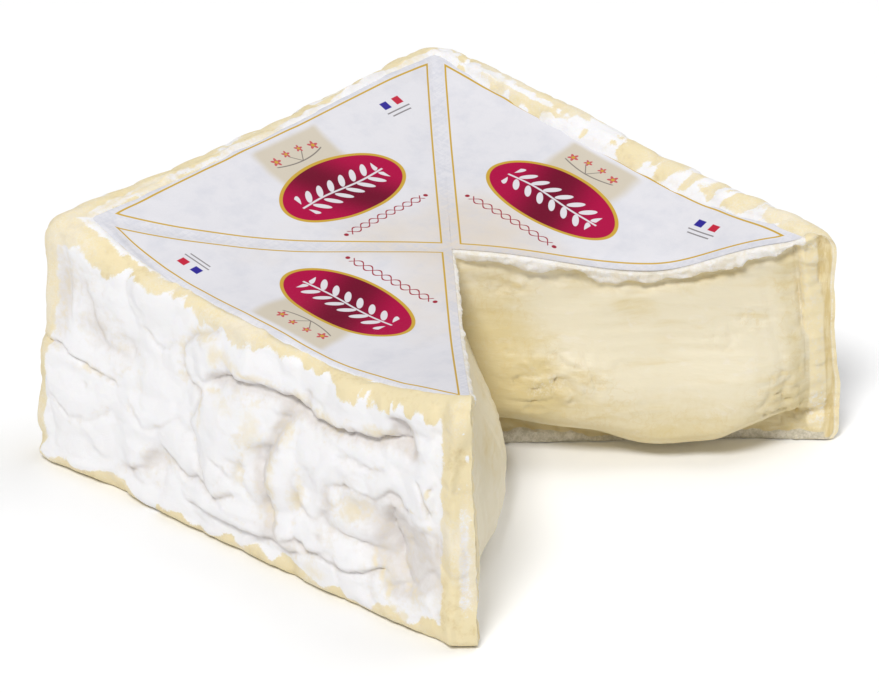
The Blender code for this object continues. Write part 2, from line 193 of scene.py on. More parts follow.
# Where yellow rind shows through the white mould: along, height, spreads, amount
LEFT_YELLOW = (
    (63.0, 38.0, 1.0, 4.0, 0.6), (73.0, 44.5, 3.2, 2.0, 0.6), (82.0, 41.0, 2.0, 6.0, 0.65),
    (79.0, 28.0, 1.2, 3.6, 0.5), (94.0, 43.0, 1.5, 3.0, 0.6), (90.5, 29.0, 1.4, 5.5, 0.65),
    (90.0, 17.0, 1.6, 3.0, 0.5), (98.5, 29.0, 1.3, 6.0, 0.55), (96.5, 54.5, 2.0, 1.6, 0.8),
    (108.0, 53.0, 4.0, 1.8, 0.7), (128.0, 56.0, 4.0, 1.3, 0.7), (66.5, 56.0, 1.2, 2.0, 0.8),
    (70.5, 58.0, 3.2, 1.2, 0.8), (80.0, 56.2, 6.5, 1.0, 0.75), (61.5, 61.0, 3.5, 1.4, 0.8),
    (131.5, 14.0, 2.2, 3.4, 0.35), (137.0, 19.0, 1.0, 5.0, 0.3), (119.5, 29.5, 4.6, 2.2, 0.6),
    (6.0, 56.0, 2.6, 12.0, 0.3), (47.0, 17.0, 1.6, 3.6, 0.4), (29.5, 45.0, 2.4, 1.4, 0.4),
    (53.5, 52.0, 1.2, 5.0, 0.4), (140.0, 12.0, 4.0, 1.6, 0.4), (18.0, 35.4, 4.5, 0.9, 0.5),
    (145.0, 45.0, 0.6, 0.8, 1.2), (138.5, 36.5, 0.5, 0.6, 1.1), (145.5, 34.0, 0.5, 0.7, 1.0),
    (136.5, 4.6, 0.9, 1.0, 1.4), (133.5, 6.2, 0.7, 0.8, 1.2), (38.0, 37.0, 2.6, 5.0, 0.35),
    (105.0, 6.0, 3.5, 2.4, 0.7), (66.0, 47.0, 3.0, 1.0, 0.4), (118.0, 49.0, 5.0, 1.2, 0.3),
    (126.0, 17.0, 0.6, 2.6, 0.7), (128.5, 13.0, 0.6, 2.4, 0.8), (131.0, 9.6, 0.6, 2.2, 0.7),
)
# Height over which the yellow rim hangs down the left wall before its drips
LEFT_RIM_BAND = (
    (0.0, 1.4), (14.0, 1.2), (30.0, 1.2), (60.0, 1.8), (95.0, 1.8), (120.0, 1.2), (136.0, 2.4),
    (146.0, 3.4), (150.0, 5.0), (152.5, 14.0), (158.0, 40.0),
)
LEFT_FOOT_BAND = (
    (0.0, 6.0), (8.0, 2.6), (19.0, 2.6), (27.0, 5.5), (33.0, 4.6), (38.0, 2.2), (60.0, 2.0), (92.0, 3.4),
    (104.0, 4.4), (112.0, 2.2), (130.0, 2.8), (146.0, 4.4), (151.0, 6.0), (158.0, 10.0),
)
# Along the left wall: from which inset white mould covers the rim's top
LEFT_FLUFF_EDGE = ((0.0, 5.2), (10.0, 4.0), (22.0, 3.6), (40.0, 4.4), (60.0, 5.6), (80.0, 6.6), (158.0, 7.6))
FRONT_STRIP = 149.5
LEFT_STRIP = 4.8
RIGHT_STRIP = 6.0

# Along a cut face: where the cut rind at its end begins and ends, and its upright
# ridges and grooves as place, width and how far they stand out
SIDE_SKIN = (97.5, 102.8)
SIDE_RIDGES = (
    (96.9, 0.6, -0.8), (98.9, 0.6, 0.5), (101.2, 0.6, 0.7), (102.9, 0.4, -0.7), (91.0, 1.4, 0.3), (88.0, 1.0, -0.3),
)
CUT_MASKS = ("skin", "cream_and_painted_shade", "under", "end", "torn", "side")
# Height of the grey rind at the foot of the cut faces
CUT_RIND_FOOT = ((0.0, 5.0), (30.0, 4.4), (48.0, 2.0), (62.0, 1.6), (80.0, 3.0), (100.0, 3.4), (114.0, 3.8))
# Torn and pitted places on the right cut face: along, height, spreads, roughness
RIGHT_TORN = (
    (20.0, 26.0, 11.0, 5.0, 0.9), (90.0, 18.0, 6.0, 8.0, 0.8), (17.0, 50.0, 5.0, 2.0, 0.7),
    (84.0, 41.0, 4.0, 2.5, 0.6), (74.0, 36.0, 4.0, 2.0, 0.4), (105.0, 11.0, 5.0, 8.0, 1.2),
    (10.0, 18.0, 5.0, 6.0, 0.5), (97.0, 45.0, 4.0, 8.0, 0.4), (101.0, 62.0, 4.0, 2.0, 1.0),
)


def srgb(red, green, blue):
    """A colour given as 0 to 255 levels, as the shader's linear values."""
    levels = (red / 255.0, green / 255.0, blue / 255.0)
    return tuple(((level + 0.055) / 1.055) ** 2.4 if level > 0.04045 else level / 12.92 for level in levels)


def colour_property(name, description, levels):
    return FloatVectorProperty(
        name=name, description=description, subtype="COLOR", size=3, min=0.0, max=1.0, default=srgb(*levels)
    )


class CheeseShape(bpy.types.PropertyGroup):
    """Sizes and relief of the cheese."""

    side: FloatProperty(
        name="Side", description="Length of the whole square's sides at half height",
        default=0.158, min=0.05, unit="LENGTH",
    )
    centre_height: FloatProperty(
        name="Height", description="Height at the middle of the block", default=0.064, min=0.02, unit="LENGTH"
    )
    label_inset: FloatProperty(
        name="Label inset", description="From the wall to the label's outer edge", default=0.0076, unit="LENGTH"
    )
    lumpiness: FloatProperty(
        name="Lumpiness", description="Strength of the small uneven relief of the rind", default=1.0, min=0.0
    )
    fold_depth: FloatProperty(
        name="Fold depth", description="Strength of the rind's folds and pits", default=1.25, min=0.0
    )


class CheeseColours(bpy.types.PropertyGroup):
    """Colours of the cheese."""

    mould: colour_property("Mould", "White mould on the rind", (245, 244, 245))
    # Painted shade: the mould's colour in folds and recesses, where shade falls.
    mould_painted_shade: colour_property("Mould hollows", "Mould deep in the folds", (214, 206, 199))
    rind: colour_property("Rind", "Yellow rind where the mould is thin", (238, 223, 182))
    rind_dark: colour_property("Dark rind", "Ochre spots of the rind", (215, 192, 134))
    paste: colour_property("Paste", "Soft paste on the cut faces", (230, 220, 193))
    paste_deep: colour_property("Deep paste", "Yellower streaks of the paste", (218, 200, 152))
    # Partly the ripe creamline's own colour, partly painted shade towards the middle and the foot of the cut faces.
    creamline_and_painted_shade: colour_property("Creamline", "Ripe cream under the rind", (214, 196, 144))
    skin: colour_property("Cut rind", "Grey-white rind where it is cut", (234, 226, 210))
    foot_rind: colour_property("Foot rind", "Rind at the foot of the cut faces", (196, 188, 166))


class LabelPrint(bpy.types.PropertyGroup):
    """The paper label and its print."""

    thickness: FloatProperty(name="Thickness", description="Of the paper", default=0.00022, unit="LENGTH")
    gap: FloatProperty(name="Gap", description="Between cheese and paper", default=0.00028, unit="LENGTH")
    paper: colour_property("Paper", "Satin paper", (224, 223, 228))
    paper_warm: colour_property("Warm paper", "Warmer tint of the paper", (220, 210, 199))
    # Painted shade: grey-blue streaks on the paper's folded margins and grey mottling over it stand in for the shade of
    # its folds and waves.
    margin: colour_property("Margin", "Streaks on the paper's folded margins", (202, 204, 214))
    gold: colour_property("Gold", "Printed gold lines", (200, 163, 60))
    badge: colour_property("Badge", "Bright ends of the badge", (172, 0, 66))
    badge_dark: colour_property("Dark badge", "Dark middle of the badge", (112, 0, 40))
    ornament: colour_property("Ornament", "Dark red ornament", (158, 38, 56))
    patch: colour_property("Patch", "Beige ground of the blossoms", (205, 194, 172))
    ink: colour_property("Ink", "Grey fine lines", (92, 84, 84))
    blue: colour_property("Blue", "Small blue square", (48, 40, 146))
    red: colour_property("Red", "Small red square", (192, 36, 62))


class StudioLook(bpy.types.PropertyGroup):
    """Floor and light."""

    floor: colour_property("Floor", "Plain pale floor", (252, 252, 252))
    key_strength: FloatProperty(name="Key light", description="Watts per square metre of the key light", default=1.95)
    top_strength: FloatProperty(name="Top light", description="Watts per square metre from above", default=0.8)
    sky: FloatProperty(name="Sky", description="Strength of the even light from all round", default=0.31)


# Numbers on the shape


def follow(knots, at):
    """Values of a smooth line through the knots, at the given positions."""
    positions = np.array([knot[0] for knot in knots])
    values = np.array([knot[1] for knot in knots])
    slopes = np.gradient(values, positions)
    at = np.clip(at, positions[0], positions[-1])
    index = np.clip(np.searchsorted(positions, at, side="right") - 1, 0, len(knots) - 2)
    width = positions[index + 1] - positions[index]
    share = (at - positions[index]) / width
    near = values[index] * (1.0 + 2.0 * share) * (1.0 - share) ** 2
    near = near + slopes[index] * width * share * (1.0 - share) ** 2
    far = values[index + 1] * share ** 2 * (3.0 - 2.0 * share)
    far = far - slopes[index + 1] * width * share ** 2 * (1.0 - share)
    return near + far


def ease(low, high, at):
    """0 below low, 1 above high and a smooth step between them."""
    share = np.clip((at - low) / (high - low), 0.0, 1.0)
    return share * share * (3.0 - 2.0 * share)


def bell(offset, spread):
    return np.exp(-0.5 * (offset / spread) ** 2)


def sum_of_bells(along, height, bells):
    """Sum of soft bells given as place along, height, two spreads and an amount."""
    total = np.zeros(along.shape)
    for middle, level, wide, high, amount in bells:
        total = total + amount * bell(along - middle, wide) * bell(height - level, high)
    return total


def near_stroke(along, height, points):
    """Distance from a broken line, and 1 on its left-hand side or -1 on its right."""
    nearest = np.full(along.shape, 1e6)
    side = np.ones(along.shape)
    for first, last in zip(points, points[1:]):
        run = last[0] - first[0]
        rise = last[1] - first[1]
        share = ((along - first[0]) * run + (height - first[1]) * rise) / (run * run + rise * rise)
        share = np.clip(share, 0.0, 1.0)
        off_along = along - first[0] - share * run
        off_height = height - first[1] - share * rise
        distance = np.hypot(off_along, off_height)
        left = np.where(run * off_height - rise * off_along >= 0.0, 1.0, -1.0)
        side = np.where(distance < nearest, left, side)
        nearest = np.minimum(nearest, distance)
    return nearest, side


class Lumps:
    """Smooth three-dimensional noise from a seeded lattice, between -1 and 1."""

    SIZE = 48

    def __init__(self, seed):
        self.lattice = np.random.default_rng(seed).uniform(-1.0, 1.0, (self.SIZE,) * 3)

    def at(self, points, grain):
        scaled = points / grain
        cell = np.floor(scaled).astype(int)
        share = scaled - cell
        share = share * share * (3.0 - 2.0 * share)
        total = np.zeros(len(points))
        for corner in np.ndindex(2, 2, 2):
            weight = np.prod(np.where(corner, share, 1.0 - share), axis=1)
            place = (cell + corner) % self.SIZE
            total = total + weight * self.lattice[place[:, 0], place[:, 1], place[:, 2]]
        return total


class CheeseForm:
    """The cheese's shape in millimetres, about the middle of the block."""

    def __init__(self, shape):
        self.half = shape.side / MM / 2
        self.centre_height = shape.centre_height / MM
        self.label_inset = shape.label_inset / MM
        self.lumpiness = shape.lumpiness
        self.fold_depth = shape.fold_depth
        self.coarse = Lumps(3)
        self.fine = Lumps(11)
        self.side_folds = self.make_side_folds(17)

    def make_side_folds(self, seed):
        """Folds for the two walls that have none listed: wall, depth, width and points."""
        dice = np.random.default_rng(seed)
        folds = []
        for wall in (0, 1):
            for _ in range(34):
                points = [(dice.uniform(6.0, 152.0), dice.uniform(8.0, 58.0))]
                heading = dice.uniform(0.0, 2.0 * math.pi)
                for _ in range(4):
                    heading = heading + dice.uniform(-0.9, 0.9)
                    step = dice.uniform(3.0, 7.0)
                    last = points[-1]
                    points.append((last[0] + step * math.cos(heading), last[1] + step * math.sin(heading)))
                folds.append((wall, dice.uniform(0.5, 1.5), dice.uniform(0.8, 1.7), tuple(points)))
        return folds

    def outline(self, turn, inset):
        """Plan position on the rounded square at a number of quarter turns and an inset."""
        quarter = np.minimum(np.floor(turn), QUARTERS_LEFT - 1).astype(int)
        share = turn - quarter
        half = np.maximum(self.half - inset, 0.0)
        first = np.minimum(np.maximum(CORNER_RADII[quarter] - inset, INNER_CORNER_RADIUS), half)
        last = np.minimum(np.maximum(CORNER_RADII[quarter + 1] - inset, INNER_CORNER_RADIUS), half)
        straight = 2.0 * half - first - last
        run = share * (straight + (first + last) * math.pi / 4)
        into_first = np.minimum(run, first * math.pi / 4)
        along = np.clip(run - into_first, 0.0, straight)
        into_last = np.maximum(run - into_first - along, 0.0)
        angle = into_first / np.maximum(first, 1e-9) - math.pi / 4
        angle = angle + into_last / np.maximum(last, 1e-9)
        radius = np.where(into_last > 0.0, last, first)
        outwards = half - radius + radius * np.cos(angle)
        sideways = along + first - half + radius * np.sin(angle)
        turned = quarter * math.pi / 2
        x = outwards * np.cos(turned) - sideways * np.sin(turned)
        y = outwards * np.sin(turned) + sideways * np.cos(turned)
        return x, y

    def column_inset(self, column, columns, edge):
        """Inset of the columns from an edge line down to the middle of the block."""
        share = 1.0 - np.minimum(column, columns) / columns
        return edge + (self.half - edge) * share ** COLUMN_SPREAD

    def sunk(self, run, depth, sag):
        """How far the top has sunk near a cut, along it and away from it."""
        middle, near, far, inwards, most = sag
        along = np.where(run < middle, bell(run - middle, near), bell(run - middle, far))
        return most * along * bell(depth, inwards)

    def top_height(self, turn, inset, x, y):
        """Height of the cheese's top, with its raised rim and the hollow at the cut."""
        outwards = np.clip((self.half - inset) / (self.half - LABEL_EDGE_LINE), 0.0, 1.0)
        inner = self.centre_height + follow(LABEL_EDGE_RISE, turn) * outwards ** 3
        near_rim = ease(-follow(RIM_FOOT, turn), -follow(RIM_CREST, turn), -inset)
        height = inner * (1.0 - near_rim) + follow(RIM_HEIGHT, turn) * near_rim
        right_run = (x - y) / DIAGONAL
        right_depth = (x + y) / DIAGONAL
        height = height - self.sunk(right_run, right_depth, RIGHT_CUT_SAG)
        height = height - self.sunk(right_run, right_depth, RIGHT_EDGE_SAG)
        height = height - self.sunk(-right_depth, right_run, FRONT_CUT_SAG)
        across, along, wide, long, deep = LEFT_HOLLOW
        return height - deep * bell(x - across, wide) * bell(y - along, long)

    def joint(self, turn, sharpness):
        """1 in the shallow grooves that cross the two back rims, and 0 between them."""
        run = turn * 2.0 * self.half
        nothing = np.zeros(turn.shape)
        shifted = run + 2.2 * self.fine.at(np.stack((run, nothing, nothing), axis=1), 11.0)
        back = ease(0.02, 0.12, turn) * (1.0 - ease(1.9, 2.0, turn))
        return back * np.abs(np.cos(shifted * math.pi / JOINT_SPACING)) ** sharpness

    def rim_lumps(self, turn, inset, x, y):
        """Lumps of the rim's top, and mould that creeps over the label's edge in places."""
        place = np.stack((x, y, np.zeros(x.shape)), axis=1)
        lumps = 0.3 * self.fine.at(place, 2.4) + 0.5 * self.coarse.at(place, 5.5) + 0.12 * self.coarse.at(place, 1.2)
        edge = self.label_inset + follow(PAPER_SETBACK, turn)
        creep = ease(0.0, 0.6, self.coarse.at(place, 6.0) + 0.3 * self.fine.at(place, 3.0) - 0.1)
        creep = creep * (1.0 - ease(1.9, 2.0, turn)) * bell(inset - edge + 0.6, 1.2)
        lumps = lumps - 0.6 * self.joint(turn, 16)
        lumps = lumps * ease(-0.4, 0.8, edge - inset) + 0.4 * bell(inset - edge + 1.0, 0.9)
        return lumps + 0.9 * creep

    def left_wall(self, along, height):
        """Relief of the left-hand wall, and the painted shade its folds, pits and hollows get."""
        place = np.stack((along, height, np.zeros(along.shape)), axis=1)
        along = along + 1.0 * self.coarse.at(place, 7.0) + 0.45 * self.fine.at(place, 2.2)
        height = height + 1.0 * self.fine.at(place, 6.0) + 0.45 * self.coarse.at(place, 2.0)
        forms = sum_of_bells(along, height, LEFT_FORMS)
        relief = 1.4 * forms
        pillows = np.abs(self.coarse.at(place, 13.0)) + 0.1 * np.abs(self.fine.at(place, 5.0))
        relief = relief + 1.8 * np.minimum(pillows, 0.7) - 0.5
        relief = relief + 0.3 * self.fine.at(place, 4.2) + 0.1 * self.coarse.at(place, 2.2)
        busy = 0.25 + 0.75 * bell(along - 112.0, 30.0) * bell(height - 20.0, 13.0)
        winding = busy * np.exp(-np.abs(self.coarse.at(place, 8.5)) / 0.14)
        relief = relief - 0.9 * winding
        # Painted shade: the mould is darkened in recesses, along the winding creases, in the pocket low on the right
        # and in the bands by both corners, where shade falls.
        painted_shade = 0.6 * np.clip(-forms, 0.0, 2.5) + 0.5 * winding
        painted_shade = painted_shade + 0.15 * bell(along - 126.0, 19.0) * bell(height - 25.0, 12.0)
        painted_shade = painted_shade + 0.8 * bell(along - 156.2, 2.0) * bell(height - 26.0, 18.0)
        painted_shade = painted_shade + 0.35 * bell(along - 7.0, 2.6) * bell(height - 56.0, 13.0)
        # Each fold and pit sinks the relief and adds painted shade in its valley.
        for depth, width, lip, lip_width, points in LEFT_FOLDS:
            distance, side = near_stroke(along, height, points)
            valley = 0.55 * np.exp(-distance / width) + 0.45 * bell(distance, 1.7 * width)
            upper = np.where(side > 0.0, 1.0, 0.0) * (1.0 - np.exp(-distance / width))
            relief = relief - 1.25 * depth * valley + 1.2 * lip * upper * bell(distance, lip_width)
            painted_shade = painted_shade + depth * valley
        for middle, level, radius, depth in LEFT_PITS:
            dent = bell(np.hypot(along - middle, height - level), radius)
            relief = relief - depth * dent
            painted_shade = painted_shade + depth * dent
        return relief * self.fold_depth, painted_shade

    def side_wall(self, wall, along, height):
        """Relief and painted shade in the folds of the right-hand wall, 0, or of the back one, 1."""
        relief = np.zeros(along.shape)
        painted_shade = np.zeros(along.shape)
        for owner, depth, width, points in self.side_folds:
            if owner != wall:
                continue
            distance, side = near_stroke(along, height, points)
            valley = 0.5 * np.exp(-distance / width) + 0.5 * bell(distance, 1.7 * width)
            upper = np.where(side > 0.0, 1.0, 0.0) * (1.0 - np.exp(-distance / width))
            relief = relief - depth * valley + 0.5 * depth * upper * bell(distance, 2.0 * width)
            # Painted shade in the fold's valley.
            painted_shade = painted_shade + 0.3 * depth * valley
        place = np.stack((along, height, np.full(along.shape, 60.0 + 40.0 * wall)), axis=1)
        winding = np.exp(-np.abs(self.coarse.at(place, 9.5)) / 0.14)
        relief = relief + 1.2 * np.abs(self.coarse.at(place, 14.0)) - 0.5 * winding
        # Painted shade along the winding creases too.
        return relief * self.fold_depth, painted_shade + 0.15 * winding

    def wall_relief(self, turn, height, x, y):
        """How far the rind stands out of the plain wall, and how much painted shade its folds get there."""
        run = turn * 2.0 * self.half
        place = np.stack((x, y, height), axis=1)
        relief = 0.75 * self.coarse.at(place, 19.0) + 0.34 * self.fine.at(place, 8.5)
        relief = relief + 0.14 * self.coarse.at(place, 3.4) + 0.07 * self.fine.at(place, 1.5)
        relief = relief * self.lumpiness
        painted_shade = np.zeros(turn.shape)
        for wall in range(QUARTERS_LEFT):
            here = (turn >= wall - 0.02) & (turn <= wall + 1.02)
            along = run[here] - wall * 2.0 * self.half
            if wall == QUARTERS_LEFT - 1:
                part, dark = self.left_wall(along, height[here])
            else:
                part, dark = self.side_wall(wall, along, height[here])
            ends = ease(-1.5, 2.5, along) * ease(-1.5, 2.5, 2.0 * self.half - along)
            relief[here] = relief[here] + part * ends
            painted_shade[here] = np.maximum(painted_shade[here], dark * ends)
        relief = relief - 0.6 * self.joint(turn, 12) * ease(48.0, 64.0, height)
        return relief, painted_shade

    def wall_point(self, row, turn):
        """Inset, height, share of the height and painted shade of a row of the wall."""
        rim = follow(RIM_RADIUS, turn)
        x, y = self.outline(turn, rim)
        top = self.top_height(turn, rim, x, y)
        foot_angle = np.clip(row / FOOT_ROWS, 0.0, 1.0) * math.pi / 2
        rim_angle = np.clip((row - FOOT_ROWS - WALL_ROWS) / RIM_ROWS, 0.0, 1.0) * math.pi / 2
        share = np.clip((row - FOOT_ROWS) / WALL_ROWS, 0.0, 1.0)
        height = FOOT_RADIUS * (1.0 - np.cos(foot_angle))
        height = height + share * (top - rim - FOOT_RADIUS) + rim * np.sin(rim_angle)
        inset = FOOT_RADIUS * (1.0 - np.sin(foot_angle)) + rim * (1.0 - np.cos(rim_angle))
        lean = follow(WALL_LEAN, turn)
        inset = inset - lean * (1.0 - ease(LEAN_FROM, LEAN_TO, height))
        below_step = 0.8 + 0.2 * (1.0 - ease(-0.5, 0.5, height - LEFT_STEP_HEIGHT))
        inset = inset - LEFT_CORNER_SWELL * bell(turn - 2.0, 0.09) * below_step
        x, y = self.outline(turn, inset)
        relief, painted_shade = self.wall_relief(turn, height, x, y)
        inset = inset - relief * ease(-0.5, 0.6, np.cos(rim_angle)) * ease(-1.0, 2.5, height)
        return inset, height, height / top, painted_shade

    def paste_bulge(self, run, height, reach, foot):
        """How far the soft paste stands out of a cut face."""
        base = follow(foot, run)
        share = np.clip((height - base) / (PASTE_TOP - base), 0.0, 1.0)
        bulge = follow(reach, run) * follow(PASTE_PROFILE, share)
        at_tip = ease(80.0, 105.0, run) * (1.0 - ease(0.0, PASTE_TOP, height))
        return bulge + TIP_SPREAD * at_tip

    def cut_details(self, run, height, top, foot, mirror):
        """Fine relief of a cut face and the masks of its skin, creamline with painted shade, foot, end and tears."""
        place = np.stack((run, height, np.full(run.shape, 40.0 * mirror)), axis=1)
        wobble = 1.1 * self.coarse.at(place, 5.0) + 0.5 * self.fine.at(place, 1.8)
        skin_line = top - follow(RIND_SKIN, run) + wobble
        skin = ease(-0.4, 0.4, height - skin_line) * ease(-101.0, -97.0, -run)
        level_run = run - follow(WALL_LEAN, np.zeros(1)) * DIAGONAL * (1.0 - ease(LEAN_FROM, LEAN_TO, height))
        side_skin = ease(-0.5, 0.5, level_run - SIDE_SKIN[0] + 0.5 * wobble) * ease(-0.4, 0.4, SIDE_SKIN[1] - level_run)
        cream_line = follow(CREAMLINE, run) + 1.6 * self.fine.at(place, 14.0)
        cream_and_painted_shade = 0.8 * ease(-5.0, 6.0, height - cream_line - 2.0)
        cream_and_painted_shade = np.maximum(cream_and_painted_shade, 0.5 * bell(level_run - 93.5, 3.5) * ease(8.0, 24.0, height))
        # Painted shade: deeper cream towards the middle of the block, where the block's left part shades the cut face,
        # mostly on the right cut.
        at_middle = 0.85 * ease(-34.0, -8.0, -run) * (1.0 - 0.55 * ease(40.0, 52.0, height))
        cream_and_painted_shade = np.maximum(cream_and_painted_shade, at_middle * (1.0 - 0.85 * mirror))
        # Painted shade: deeper cream low down, where the paste's bulge faces down, mostly on the right cut.
        cream_and_painted_shade = cream_and_painted_shade + 0.7 * (1.0 - ease(8.0, 32.0, height)) * (1.0 - cream_and_painted_shade) * (1.0 - 0.8 * mirror)
        foot_line = follow(foot, run) - 0.6 + 0.9 * wobble
        below = ease(-0.5, 0.5, foot_line - height)
        under = ease(-0.7, 0.7, np.minimum(foot_line, follow(CUT_RIND_FOOT, run) + 1.2 * wobble) - height)
        end = ease(-0.4, 0.4, level_run - SIDE_SKIN[1] + 0.3 * wobble)
        torn = sum_of_bells(run, height, RIGHT_TORN) if mirror == 0 else 0.5 * bell(run - 16.0, 8.0) * bell(height - 28.0, 7.0)
        torn = np.maximum(torn, 0.5 * (below - under))
        streaks = np.stack((run / 7.0, height, place[:, 2]), axis=1)
        drips = np.stack((run, height / 9.0, place[:, 2]), axis=1)
        relief = 0.7 * self.coarse.at(place, 17.0) + 0.3 * self.fine.at(place, 7.0)
        relief = relief + 0.14 * self.fine.at(streaks, 1.5) + (0.04 + 0.2 * mirror) * self.coarse.at(drips, 2.6)
        rough = 0.5 * self.fine.at(place, 2.6) + 0.3 * self.coarse.at(place, 1.2)
        flakes = np.minimum(np.abs(self.fine.at(place, 3.2)) * 2.0, 1.0)
        relief = relief + 1.3 * torn * (rough - 0.9 * (1.0 - flakes) ** 2)
        fuzz = np.maximum(np.maximum(skin, under), np.maximum(side_skin, 0.5 * end))
        crumple = 0.7 * np.abs(self.fine.at(place, 3.4)) + 0.5 * np.abs(self.coarse.at(place, 1.9)) - 0.2
        relief = relief * (1.0 - fuzz) + fuzz * (crumple + 0.25 * self.coarse.at(place, 1.2))
        relief = relief + 1.0 * skin - 1.1 * bell(height - skin_line + 1.8, 1.2) * (1.0 - skin)
        relief = relief + 0.5 * below - 1.0 * bell(height - foot_line, 0.8)
        for line, width, amount in SIDE_RIDGES:
            relief = relief + amount * bell(level_run + 0.4 * wobble - line, width) * ease(3.0, 16.0, height)
        side = side_skin * ease(-1.0, 8.0, height) * (1.0 - skin)
        return relief, skin, cream_and_painted_shade * (1.0 - skin), under, end, torn, side

    def rind_masks(self, turn, inset, height, top, x, y):
        """Where the yellow rind shows, where it only shines through, and where mould is fluffy."""
        run = turn * 2.0 * self.half
        left_run = run - 4.0 * self.half
        place = np.stack((x, y, height), axis=1)
        wobble = 0.9 * self.coarse.at(place, 4.0) + 0.6 * self.fine.at(place, 1.7)
        slow = self.fine.at(place, 9.0)
        on_left = ease(-0.5, 0.5, left_run)
        plain_rim = 1.4 + 2.0 * slow
        plain_foot = 2.2 + 2.2 * self.coarse.at(place, 10.0)
        bend = run + 1.5 * self.fine.at(place, 5.0)
        drips = np.stack((bend, np.zeros(run.shape), height / 2.2), axis=1)
        hanging = 3.2 * ease(-0.1, 0.65, self.coarse.at(drips, 4.2) + 0.4 * self.fine.at(drips, 2.0))
        hanging = hanging + 1.3 * ease(-0.2, 0.6, self.fine.at(drips, 2.3)) - 0.5
        rising = 2.8 * ease(-0.1, 0.6, self.fine.at(drips + 90.0, 5.0))
        rim_band = plain_rim * (1.0 - on_left) + follow(LEFT_RIM_BAND, left_run) * on_left + hanging
        foot_band = plain_foot * (1.0 - on_left) + follow(LEFT_FOOT_BAND, left_run) * on_left + rising
        rind = ease(-1.5, 1.5, rim_band - (top - height) + 0.8 * wobble)
        rind = np.maximum(rind, ease(-1.3, 1.3, foot_band - height + wobble))
        rind = np.maximum(rind, ease(-1.2, 1.2, left_run - FRONT_STRIP + 0.8 * wobble))
        rind = np.maximum(rind, ease(-1.2, 1.2, LEFT_STRIP - np.abs(left_run) + 0.8 * wobble))
        rind = np.maximum(rind, ease(-1.2, 1.2, RIGHT_STRIP - run + 0.6 * wobble))
        stripe = ease(-0.9, 0.9, 1.6 - np.abs(left_run - 156.2 + 0.5 * slow) + 0.7 * wobble)
        rind = rind - 0.6 * stripe * ease(7.0, 14.0, height) * ease(-50.0, -38.0, -height)
        specks = ease(0.2, 0.8, self.coarse.at(place, 1.6)) * ease(153.5, 154.5, left_run)
        rind = rind - 0.75 * specks * ease(40.0, 50.0, height)
        patches = 0.7 * self.coarse.at(place, 5.5) + 0.5 * self.fine.at(place, 2.0) + 0.26 * (inset - 5.2)
        streaky = np.stack((run / 5.0, inset * 1.3, 0.0 * run), axis=1)
        streaks = self.fine.at(streaky, 2.2) + 0.4 * self.coarse.at(place, 1.8) + 0.14 * (inset - 7.6)
        on_back = ease(0.9, 1.1, turn)
        patches = patches + 0.9 * self.joint(turn, 24)
        back_fluff = ease(-0.3, 0.8, patches * (1.0 - on_back) + streaks * on_back)
        left_fluff = ease(-1.2, 1.2, inset - follow(LEFT_FLUFF_EDGE, left_run) + 1.3 * wobble)
        fluff = back_fluff * (1.0 - on_left) * ease(5.0, 16.0, run) + 0.85 * left_fluff * on_left
        edge = self.label_inset + follow(PAPER_SETBACK, turn)
        fluff = np.maximum(fluff, ease(-1.6, -0.2, inset - edge + 0.5 * wobble))
        fluff = fluff * ease(-1.2, -0.2, height - top)
        warped = left_run + 1.2 * wobble
        stain = sum_of_bells(warped, height + wobble, LEFT_YELLOW) * on_left
        elsewhere = ease(0.1, 0.9, slow + 0.5 * self.coarse.at(place, 5.0)) * (1.0 - on_left)
        worn = 0.6 * on_back * (1.0 - on_left) * ease(-3.0, 0.0, height - top) * ease(-0.6, 0.6, slow)
        return np.clip(rind - fluff, 0.0, 1.0), np.clip(stain + 0.5 * elsewhere + worn, 0.0, 1.0), fluff


# Meshes


def vertex_places(mesh):
    places = np.zeros(len(mesh.vertices) * 3, np.float32)
    mesh.vertices.foreach_get("co", places)
    return places.reshape(-1, 3).astype(float)


def add_upright_grid(columns, rows, angle):
    """A sheet of quads one unit wide and high that stands on the axis at an angle."""
    bpy.ops.mesh.primitive_grid_add(
        x_subdivisions=columns,
        y_subdivisions=rows,
        size=1.0,
        location=(0.5 * math.cos(angle), 0.5 * math.sin(angle), 0.5),
        rotation=(math.pi / 2, 0.0, angle),
    )


def bend_band(band, columns, rows):
    """Bends a flat band round the axis: underside, wall and top of a block one unit wide and high."""
    places = vertex_places(band.data)
    angle = START_ANGLE + (places[:, 0] + 0.5) * SWEEP_ANGLE
    way = (places[:, 1] + 0.5) * (2 * columns + rows)
    column = np.minimum(np.minimum(way, 2 * columns + rows - way), columns)
    row = np.clip(way - columns, 0.0, rows)
    bent = np.stack((np.cos(angle) * column / columns, np.sin(angle) * column / columns, row / rows), axis=1)
    band.data.vertices.foreach_set("co", bent.astype(np.float32).ravel())
    band.data.update()


